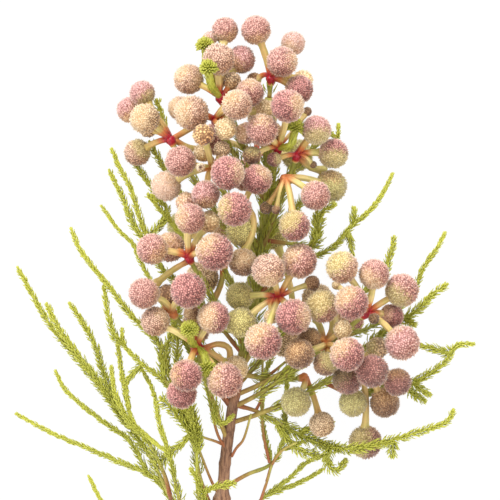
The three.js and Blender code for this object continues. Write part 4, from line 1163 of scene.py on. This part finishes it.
# Needle leaves
goldenAngle = 2.39996            # between one leaf and the next round an axis
leafLook = {
    "sides": 3,
    "length": 1.55,
    "width": 0.175,              # half of a leaf's thickness
    "perMillimetre": 11,
    "spreadOut": 0.74,           # how far a leaf's point stands off its axis, in mm
    "baseLonger": 1.25,          # leaves at the foot of a shoot beside the mean one
    "tipShorter": 0.7,
    "baseWider": 1.5,
    "tipNarrower": 0.6,
    "axisWidth": 1.2,            # beside the plain axis
    "axisThinning": 0.65,        # of an axis, at its tip
    "rootDepth": 0.22,           # where the leaves are rooted, from the axis's middle
    "leafyTo": 0.985,
    "unevenLength": (0.7, 1.15),
    "unevenSpread": (0.2, 1.2),
    "unevenTurn": 0.35,
    "flatness": 1.15,            # of a leaf across
    "tuft": 16,                  # leaves at a shoot's tip
    "tuftRadius": 1.7,
    "tuftOpening": 0.12,
    "tuftAge": 1.1,
    "rosetteRoots": 0.3,         # as shares of a bud's radius
    "rosetteLength": 0.75,
    "rosetteUneven": (0.88, 1.06),
    "rosetteBend": 0.3,
    # painted shade deep inside a bud, at the roots of its leaves
    "deep": linear(58, 66, 20),
    "old": linear(162, 164, 60),
    "young": linear(192, 192, 74),
    "tip": linear(204, 203, 98),
    "point": linear(120, 74, 40),
    "axis": linear(164, 158, 56),
    "sideWider": (0.6, 1.2),     # beside the other shoots' leaves, at the foot and at the tip
    "sideTones": (0.6, 1.1),     # of short side shoots, from foot to tip; 0 is old and 1 young
    "seed": 23,
}
leafProfile = {"along": (0, 0.35, 0.8, 1), "width": (0, 1, 0.62, 0)}


def addLeaves(piece, roots, out, forward, lengths, reach, tones, draw, thick=1.0, deep=0.0, point=0.0):
    look = leafLook
    share = np.array(leafProfile["along"])
    shape = tubeShape(len(share) - 1, look["sides"])
    profile = np.array(leafProfile["width"]) * look["width"] * thick
    s = share[shape.ring]
    side = np.cross(forward, out)
    rise = (1 - (1 - s) ** 2)
    middle = (roots[:, None] + forward[:, None] * (s[None] * lengths[:, None])[..., None]
              + out[:, None] * (rise[None] * reach[:, None])[..., None])
    slope = np.arctan2((2 * (1 - s))[None] * reach[:, None], lengths[:, None])
    normal = (out[:, None] * np.cos(slope)[..., None] - forward[:, None] * np.sin(slope)[..., None])
    radius = profile[shape.ring]
    places = (middle + normal * (shape.across[:, 0] * radius)[None, :, None]
              - side[:, None] * (shape.across[:, 1] * radius * look["flatness"])[None, :, None])
    count = len(roots)
    corners = len(s)
    ages = np.asarray(tones)[:, None] - deep * (1 - s)[None]
    piece.add(shape.times(count), places.reshape(-1, 3), age=ages.ravel(),
              along=np.tile(s, count), vary=np.repeat(draw.uniform(0, 1, count), corners),
              point=point)


# Leaves in a spiral along a stretch of a curve, rooted at the given distance from it
def leavesAlong(piece, curve, start, end, root, perMillimetre, reach, size, tones, draw, wider=None):
    look = leafLook
    wider = wider or (look["baseWider"], look["tipNarrower"])
    count = max(4, round(curve.length * (end - start) * perMillimetre))
    share = (np.arange(count) + draw.uniform(0, 1, count)) / count
    where = spread(start, end, share)
    centres = curve.evenly(where)
    fine = 240
    tangents, normals, binormals = framesAlong(curve.evenly(np.linspace(0, 1, fine + 1)))
    index = np.round(where * fine).astype(int)
    turn = np.arange(count) * goldenAngle + draw.normal(0, look["unevenTurn"], count)
    out = normals[index] * np.cos(turn)[:, None] + binormals[index] * np.sin(turn)[:, None]
    lengths = look["length"] * draw.uniform(*look["unevenLength"], count) * size
    spreads = look["spreadOut"] * reach * draw.uniform(*look["unevenSpread"], count)
    longer = spread(look["baseLonger"], look["tipShorter"], share)
    spreads *= spread(*wider, share)
    age = tones[0] + (tones[1] - tones[0]) * share
    addLeaves(piece, centres + out * root, out, tangents[index], lengths * longer,
              spreads, age, draw)


# A bud: leaves all round a point, their tips bent in
def addRosette(piece, centre, way, radius, count, age, draw, opening, **leaf):
    look = leafLook
    side = unit(np.cross(way, [0.3, 0.5, 0.8]))
    over = np.cross(way, side)
    share = (np.arange(count) + 0.5) / count
    lean = np.arccos(1 - opening * share)
    turn = np.arange(count) * goldenAngle
    flat = side * np.cos(turn)[:, None] + over * np.sin(turn)[:, None]
    forward = way * np.cos(lean)[:, None] + flat * np.sin(lean)[:, None]
    inward = way * np.sin(lean)[:, None] - flat * np.cos(lean)[:, None]
    roots = centre + forward * (radius * look["rosetteRoots"])
    lengths = radius * look["rosetteLength"] * draw.uniform(*look["rosetteUneven"], count)
    bends = radius * look["rosetteBend"] * draw.uniform(0.4, 1, count)
    addLeaves(piece, roots, inward, forward, lengths, bends, age - 0.35 * share, draw, **leaf)


def addShootAxis(piece, axis, reach, draw, tones=(0, 1), wider=None, start=0.0):
    look = leafLook
    rings = max(5, round(axis.length / 1.2))
    shape = tubeShape(rings, 6)
    share = ringShares(rings)
    radii = layout["shootCore"] * look["axisWidth"] * spread(1, look["axisThinning"], share)
    places = bendTube(shape, axis.evenly(share) + 1e-6 * np.arange(rings + 1)[:, None], radii)
    piece.add(shape, places, age=share[shape.ring] * 0.5, along=0.3, vary=0.5, point=0)
    dense = look["perMillimetre"] * max(1, reach) ** 0.5
    leavesAlong(piece, axis, start, look["leafyTo"], look["rootDepth"], dense, reach,
                min(1, 0.6 + 0.4 * reach), tones, draw, wider)
    ends = axis.evenly([0.97, 1])
    way = unit(ends[1] - ends[0])
    addRosette(piece, ends[1] - way, way, look["tuftRadius"], look["tuft"], look["tuftAge"], draw,
               look["tuftOpening"])


def leafFinish():
    look = leafLook
    skin = Finish("needle_leaves", Roughness=0.45, Specular_IOR_Level=0.4)
    age = skin.number("age")
    vary = skin.number("vary")
    along = skin.number("along")
    grain = skin.grain(0.6)
    base = skin.mix((age * 0.8 + 0.5 * (vary - 0.4)).clamped(), look["old"], look["young"])
    base = skin.mix(along.between(0.6, 1.1) * 0.7, base, look["tip"])
    base = skin.mix(grain.between(0.55, 0.85) * 0.35, base, look["axis"])
    # painted shade: leaves darker towards their roots deep in a bud
    base = skin.mix((-0.9 * age).clamped(), base, look["deep"])
    base = skin.mix(skin.number("point") * along.between(0.8, 1) * vary.between(0.3, 0.7), base,
                    look["point"])
    skin.wear("Base Color", base)
    skin.wear("Normal", skin.bump(grain, 0.03))
    return skin.made


# Wood
woodLook = {
    "bark": linear(152, 114, 86),
    "crack": linear(98, 66, 50),
    "grey": linear(178, 146, 122),
    "redBrown": linear(150, 88, 56),
    "greenWood": linear(140, 142, 62),
    "paleWood": linear(182, 178, 92),
    "cutWood": linear(222, 200, 156),
    "pith": linear(176, 140, 100),
    "stemSides": 24,
    "stemRadius": 1.72,
    "crownRadius": 1.1,
    "branchRadius": 0.56,
    "twigRadius": 0.56,
    "ringStep": 0.8,
    "knotEvery": 9,
    "knotLength": 0.7,
    "knotSwell": 0.12,
    "ribs": ((5, 0.035), (3, 0.02)),  # how many there are round the wood, and how high they are
    "greenFrom": -42,            # where along Y the main stem starts to turn green
    "greenTo": -14,
    "node": (-64, 2.6, 0.6),     # where the stem swells, over what length, and by how much
    "leafyFrom": -26,            # where its leaves start
    "branchLeaves": 0.15,        # where a branch's leaves start, as a share of its length
    "barerBranches": {"umbel_far_right": 0.3, "umbel_lower_right": 0.2, "umbel_low_edge": 0.3,
                      "umbel_bottom": 0.2},
    "leafyFeet": {               # where the leaves of a shoot's foot start; 1 is none
        "shoot_left_long": 0.8, "shoot_left_low": 0, "shoot_left_wedge": 0.35,
        "shoot_left_fork": 0.6, "shoot_left_upper": 0.35, "shoot_left_foot": 0.6,
        "shoot_low_right_thin": 1, "shoot_twig_middle": 1,
    },
    "fibreScale": 1900,          # of the bark's grain
    "fibreStretch": 0.09,
    "cutSlant": 0.6,             # slant of the cut end, in radians
    "cutInset": 1.5,             # how far up the stem's end the middle of the cut is, in mm
    "barkInside": 0.86,          # size of the wood inside the bark, at the cut
    "pithSize": 0.35,            # and of the pith inside the wood
    # The leaves on the wood: distance of their roots from its middle, number to a millimetre, how
    # far they stand out and their size, both beside a shoot's, and their tones from foot to tip
    "crownLeaves": {"root": 1.05, "perMillimetre": 10, "reach": 2.2, "size": 2, "tones": (0.3, 0.9)},
    "forkLeaves": {"root": 0.6, "perMillimetre": 6, "reach": 1.3, "size": 1.6, "tones": (0.4, 0.9)},
    "footLeaves": {"root": 0.5, "perMillimetre": 6, "reach": 1.3, "size": 1.3, "tones": (0.2, 0.5)},
    "seed": 31,
}
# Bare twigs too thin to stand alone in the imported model
thinTwigs = [
    [(-4.6, -52, 12.5), (-3.4, -49.8, 14), (-1.8, -47.9, 15), (0.3, -41.2, 16)],
    [(4.9, -53.6, 12.4), (4.4, -51.4, 11.6), (3.6, -47.8, 11), (3.1, -43, 10.6), (3.2, -36, 10.4)],
    [(2.6, -63.4, 10), (4.4, -58, 11.4), (5.5, -54.2, 12.4)],
    [(-5.6, -50.6, 12.4), (-7.9, -47, 14), (-9.3, -42, 16), (-10.6, -36, 18), (-11.8, -31, 20)],
    [(4.2, -58.4, 11.2), (5.6, -54, 12), (8, -50.6, 13), (11.8, -48.4, 14)],
    [(-5.8, -49.6, 12), (-8.1, -48.4, 13.4), (-10.8, -47.4, 15.4), (-13.6, -46.2, 18)],
    [(-7.1, -62.7, 9.8), (-9.3, -59.2, 11), (-11.6, -53.4, 14), (-13.6, -47.6, 17.6)],
    [(1.2, -40.9, 14), (2.8, -37.4, 14), (3.1, -32, 15), (3.2, -26.5, 16)],
    [(3.1, -35.5, 14.4), (5.6, -33.8, 15), (8.8, -31.2, 16)],
    [(3.1, -32.5, 14.8), (5.6, -30.8, 16), (9, -28, 18), (12, -26, 20)],
]
# How far a leafy shoot lies from its plain one, in mm, away from its foot
nudges = {
    "shoot_left_long": (-0.5, -0.45, 0), "shoot_left_low": (-0.2, -0.7, 0),
    "shoot_left_wedge": (0.3, -0.3, 0),
}
# How much further the leaves of a shoot stand out
fuller = {
    "shoot_left_long": 1.25, "shoot_left_wedge": 1.5, "shoot_stem_curl": 0.95,
    "shoot_low_right_long": 1.5, "shoot_right_edge": 1.3, "shoot_far_right_thick": 1.2,
    "shoot_right_shoulder": 1.5, "shoot_far_right_short": 1.2, "shoot_left_upper": 1.15,
}
# How far the leaves stand out at the foot and at the tip of a shoot's main axis, where this differs
tapers = {"shoot_left_wedge": (0.35, 1.7), "shoot_stem_curl": (0.7, 1.2)}
# Where the leaves of a shoot's main axis start, as a share of its leafy length
leafStarts = {"shoot_left_wedge": 0.36}
# Short leafy shoots that spring from the ones above
sideShoots = {
    "shoot_low_right_long": [
        [(6.25, -43, 17), (9.2, -47.4, 16), (12.6, -50.6, 15), (17, -51.8, 15)],
        [(12, -46.25, 16.5), (16, -44.6, 18), (20.6, -43.4, 20)],
    ],
    "shoot_left_wedge": [
        [(-15.2, -46, 22.5), (-15.9, -46.9, 22), (-18.9, -49.6, 20), (-22.2, -52.4, 17)],
        [(-13.8, -50, 21), (-14.6, -44.5, 22), (-17.8, -39.4, 23)],
        [(-13.7, -51.4, 20.4), (-13, -48, 21.6), (-13.6, -43.6, 23), (-15.2, -38.6, 24)],
        [(-15.3, -42, 23), (-17.6, -35, 22), (-18.4, -28, 22), (-18.6, -20.5, 22)],
        [(-15.6, -43, 23), (-16.6, -38, 22), (-18.6, -35.2, 21), (-20.9, -30.2, 20), (-21.1, -23.9, 20),
            (-19.1, -18.8, 21), (-18.3, -14.1, 22)],
    ],
    "shoot_left_thin": [
        [(-20.4, -51, 22.8), (-26, -46.6, 22), (-29.3, -43, 22), (-31.6, -34, 22), (-33.2, -23.8, 22)],
    ],
    "shoot_twig_middle": [[(3, -41, 10), (3.4, -34, 11), (4.6, -29, 13), (6, -26, 14)]],
    "shoot_right_shoulder": [
        [(3.3, 2.6, 24.6), (7, 6, 24), (10.5, 9.5, 24), (13.8, 13, 24)],
        [(11, 1.5, 31), (14.6, 0.6, 29), (16.6, 4, 29), (17.6, 9, 30)],
    ],
    "shoot_far_left_behind": [
        [(-15.5, 2, 21.8), (-18.6, 5.5, 22), (-20.8, 8.3, 22), (-23.1, 11, 22), (-25.3, 13.8, 22)],
        [(-13, 9.5, 18), (-18.1, 15.1, 18), (-21.1, 19.6, 18.5), (-23.1, 23.1, 19), (-25.1, 26.9, 19)],
        [(-18.1, 15.1, 18), (-22.5, 13.4, 19), (-25.2, 16.5, 19), (-28.6, 21.4, 19)],
        [(-20, 27, 23), (-20.9, 29.1, 22), (-21.9, 33.2, 21), (-23.4, 37.4, 20)],
    ],
}


def addWood(piece, curve, startRadius, endRadius, greenOf, draw, extra=0, sides=10):
    look = woodLook
    rings = max(6, round(curve.length / look["ringStep"]))
    shape = tubeShape(rings, sides)
    along = ringShares(rings)
    points = curve.evenly(along)
    forward = unit(points[-2] - points[-4])
    points[-2] += forward * extra
    points[-1] += forward * (extra + 0.01)
    points[0] -= unit(points[2] - points[1]) * 0.01
    length = along * curve.length
    knots = np.abs((length + draw.uniform(0, 5)) % look["knotEvery"] - look["knotEvery"] / 2)
    swell = 1 + look["knotSwell"] * np.exp(-(knots / look["knotLength"]) ** 2)
    if sides == look["stemSides"]:
        place, reach, more = look["node"]
        swell += more * np.exp(-((points[:, 1] - place) / reach) ** 2)
    radii = spread(startRadius, endRadius, along) * swell
    (many, high), (few, low) = look["ribs"]
    ribs = 1 + high * np.sin(shape.turn * many + np.sin(length[shape.ring] * 0.35) * 2)
    ribs += low * np.sin(shape.turn * few + length[shape.ring] * 1.3)
    places = bendTube(shape, points, radii[shape.ring] * ribs)
    piece.add(shape, places, green=greenOf(along, points)[shape.ring], cut=0,
              rise=np.clip((ribs - 0.95) * 10, 0, 1))


# Cuts the foot of the stem on a slant and closes it with a face of bark, wood and pith
def cutFoot(mesh):
    look = woodLook
    slant = look["cutSlant"]
    up = Vector((0, math.cos(slant), math.sin(slant)))
    foot = Vector(mainStem[0]) + Vector(layout["originShift"])
    middle = (foot + Vector((0, look["cutInset"], 0))) / 1000
    bm = bmesh.new()
    bm.from_mesh(mesh)
    everything = bm.verts[:] + bm.edges[:] + bm.faces[:]
    bmesh.ops.bisect_plane(bm, geom=everything, plane_co=middle, plane_no=up, clear_inner=True)
    rim = [edge for edge in bm.edges if edge.is_boundary]
    face = bmesh.ops.contextual_create(bm, geom=rim)["faces"][0]
    cut = bm.verts.layers.float["cut"]
    for ring, size in ((1, look["barkInside"]), (2, look["pithSize"])):
        bmesh.ops.inset_region(bm, faces=[face], thickness=1e-6)
        back = Matrix.Translation(-face.calc_center_median())
        bmesh.ops.scale(bm, vec=(size, size, size), space=back, verts=face.verts)
        for vert in face.verts:
            vert[cut] = ring
    bmesh.ops.recalc_face_normals(bm, faces=bm.faces)
    bm.to_mesh(mesh)
    bm.free()


def woodFinish():
    look = woodLook
    skin = Finish("bark", Roughness=0.85)
    place = skin.node("ShaderNodeTexCoord", output="Object")
    long = skin.node("ShaderNodeMapping", {"Vector": place, "Scale": (1, look["fibreStretch"], 1)})
    inputs = {"Vector": long, "Scale": look["fibreScale"], "Detail": 6, "Roughness": 0.7}
    fibre = skin.node("ShaderNodeTexNoise", inputs)
    patch = skin.grain(5)
    base = skin.mix(fibre.between(0.36, 0.62), look["crack"], look["bark"])
    base = skin.mix(patch.between(0.5, 0.75) * 0.6, base, look["grey"])
    green = skin.number("green")
    wood = skin.mix(patch.between(0.35, 0.65), look["greenWood"], look["paleWood"])
    wood = skin.mix(fibre.between(0.5, 0.7) * 0.55, wood, look["redBrown"])
    twig = skin.mix(green.between(0.2, 0.8), look["redBrown"], wood)
    base = skin.mix(green.between(0.02, 0.25), base, twig)
    cut = skin.number("cut")
    face = skin.mix(cut.between(1.4, 2), look["cutWood"], look["pith"])
    skin.wear("Base Color", skin.mix(cut.between(0.1, 0.9), base, face))
    skin.wear("Normal", skin.bump(fibre, 0.2))
    return skin.made


budLook = {
    "stalk": 0.85,
    "leafyFrom": 0.15,
    "radius": 2.5,
    "leaves": 120,
    "leafThick": 1.9,
    # how much painted shade darkens the bud's leaves towards their roots
    "leafDeepShade": 0.45,
    "age": 0.75,
    "opening": 1.62,             # 1 is half a ball, 2 a whole one
    "stalkLeaves": {"root": 0.75, "perMillimetre": 9, "reach": 0.35, "size": 0.9, "tones": (0.3, 0.8)},
}


# A leafy bud on its short stalk, among the heads of an umbel
def addBud(piece, curve, draw):
    look = budLook
    rings = 8
    shape = tubeShape(rings, 8)
    share = ringShares(rings)
    points = curve.evenly(share) + 1e-6 * np.arange(rings + 1)[:, None]
    places = bendTube(shape, points, np.full(rings + 1, look["stalk"]))
    piece.add(shape, places, age=0.3, along=0.4, vary=0.5, point=0)
    leavesAlong(piece, curve, look["leafyFrom"], 0.9, draw=draw, **look["stalkLeaves"])
    ends = curve.evenly([0.9, 1])
    way = unit(ends[1] - ends[0])
    addRosette(piece, ends[1] - way * 0.9, way, look["radius"], look["leaves"], look["age"], draw,
               look["opening"], thick=look["leafThick"], deep=look["leafDeepShade"], point=1)


def makeUmbels(finishes):
    draw = np.random.default_rng(headLook["seed"])
    turner = random.Random(headLook["seed"])
    for name, umbel in umbels.items():
        heads = Piece(name + "_florets")
        stalks = Piece(name + "_stalks")
        redness = stalkLook["greenishRedness"] if name in stalkLook["greenish"] else 1
        for head, curve, kind in umbel["placed"]:
            addHead(heads, head, curve, kind, draw, turner)
            addStalk(stalks, head.radius, curve, name, redness, draw)
        for points in backStalks.get(name, []):
            curve = SmoothCurve([laid(point) for point in points])
            addStalk(stalks, stalkLook["fullHead"], curve, name, stalkLook["backRedness"], draw)
        addGland(stalks, umbel, name, redness, draw)
        heads.finish(name, finishes["florets"])
        stalks.finish(name, finishes["stalks"])
        if umbel.get("buds"):
            tufts = Piece(name + "_tufts")
            for bud in umbel["buds"]:
                addBud(tufts, SmoothCurve([laid(point) for point in bud]), draw)
            tufts.finish(name, finishes["leaves"])


def makeShoots(finishes):
    look = leafLook
    draw = np.random.default_rng(look["seed"])
    for name, shoot in shoots.items():
        piece = Piece(name + "_leaves")
        side = [SmoothCurve([laid(point) for point in axis]) for axis in sideShoots.get(name, [])]
        foot = shoot["leafy"].evenly([0])
        nudge = np.array(nudges.get(name, (0, 0, 0)))
        axes = [shoot["leafy"]] + shoot["forks"] + side
        for order, axis in enumerate(axes):
            if nudge.any():
                points = axis.evenly(np.linspace(0, 1, max(4, round(axis.length / 3))))
                away = smoothStep(0, 12, np.linalg.norm(points - foot, axis=1))
                axis = SmoothCurve(points + nudge * away[:, None])
            isSide = order >= len(axes) - len(side)
            addShootAxis(piece, axis, shoot["reach"] * fuller.get(name, 1), draw,
                         look["sideTones"] if isSide else (0, 1),
                         look["sideWider"] if isSide else None if order else tapers.get(name),
                         0 if order else leafStarts.get(name, 0))
        piece.finish(name, finishes["leaves"])


def makeWood(finishes):
    look = woodLook
    draw = np.random.default_rng(look["seed"])
    node = "stem_and_branches"
    stem = Piece("main_stem")
    addWood(stem, stemCurve, look["stemRadius"], look["crownRadius"],
            lambda along, points: smoothStep(look["greenFrom"], look["greenTo"], points[:, 1]),
            draw, sides=look["stemSides"])
    cutFoot(stem.finish(node, finishes["wood"]).data)
    branches = Piece("side_branches")
    leaves = Piece("stem_leaves")
    for name, umbel in umbels.items():
        addWood(branches, umbel["branch"], look["branchRadius"] * 1.1, look["branchRadius"],
                lambda along, points: spread(0.45, 0.9, along), draw, extra=0.3)
        start = look["barerBranches"].get(name, look["branchLeaves"])
        leavesAlong(leaves, umbel["branch"], start, 0.86, draw=draw, **look["forkLeaves"])
    branches.finish(node, finishes["wood"])
    low = float(np.interp(look["leafyFrom"], stemCurve.at(stemCurve.shares)[:, 1],
                          stemCurve.reached)) / stemCurve.length
    leavesAlong(leaves, stemCurve, low, 0.99, draw=draw, **look["crownLeaves"])
    feet = Piece("shoot_feet")
    for name, shoot in shoots.items():
        start = look["leafyFeet"].get(name, 0.5)
        if start < 1:
            leavesAlong(leaves, shoot["foot"], start, 1, draw=draw, **look["footLeaves"])
        addWood(feet, shoot["foot"], look["twigRadius"], look["twigRadius"] * 0.8,
                lambda along, points: spread(0.1, 0.95, along), draw, extra=0.5)
    for twig in thinTwigs:
        addWood(feet, SmoothCurve(twig), look["twigRadius"] * 0.7, look["twigRadius"] * 0.5,
                lambda along, points: spread(0.2, 0.7, along), draw, sides=8)
    feet.finish(node, finishes["wood"])
    leaves.finish(node, finishes["leaves"])


finishes = {
    "florets": floretFinish(),
    "stalks": stalkFinish(),
    "leaves": leafFinish(),
    "wood": woodFinish(),
}
makeUmbels(finishes)
print("heads and stalks made")
makeShoots(finishes)
print("leafy shoots made")
makeWood(finishes)
print("wood made")

studioLook = {
    "floorSize": 6,
    "floorColour": (0.03, 0.03, 0.03, 1),
    "floorGlowColour": (1, 1, 1, 1),
    "floorGlow": 0.955,
    "skyColour": (1.0, 0.99, 0.98),
    "skyStrength": 1.65,
    "keyFrom": (-0.35, 0.85, 0.75),
    "keyStrength": 2.1,
    "keyAngle": 25,              # degrees across, for soft shadows
}


def makeStudio(look):
    floorMesh = bpy.data.meshes.new("floor")
    bm = bmesh.new()
    bmesh.ops.create_grid(bm, x_segments=1, y_segments=1, size=look["floorSize"] / 2)
    bm.to_mesh(floorMesh)
    bm.free()
    floor = bpy.data.objects.new("floor", floorMesh)
    floor.location.z = -0.0001
    bpy.context.scene.collection.objects.link(floor)
    paint = Finish("floor", Roughness=0.9, Base_Color=look["floorColour"],
                   Emission_Color=look["floorGlowColour"], Emission_Strength=look["floorGlow"])
    floorMesh.materials.append(paint.made)
    world = bpy.data.worlds.new("studio")
    world.use_nodes = True
    sky = world.node_tree.nodes["Background"]
    sky.inputs["Color"].default_value = (*look["skyColour"], 1)
    sky.inputs["Strength"].default_value = look["skyStrength"]
    bpy.context.scene.world = world
    sun = bpy.data.lights.new("key", "SUN")
    sun.energy = look["keyStrength"]
    sun.angle = math.radians(look["keyAngle"])
    key = bpy.data.objects.new("key", sun)
    key.rotation_euler = Vector(look["keyFrom"]).to_track_quat("Z", "Y").to_euler()
    bpy.context.scene.collection.objects.link(key)
    bpy.context.scene.view_settings.view_transform = "Standard"


makeStudio(studioLook)

print("triangles:", sum(trianglesMade.values()), "most in a piece:", max(trianglesMade.values()))
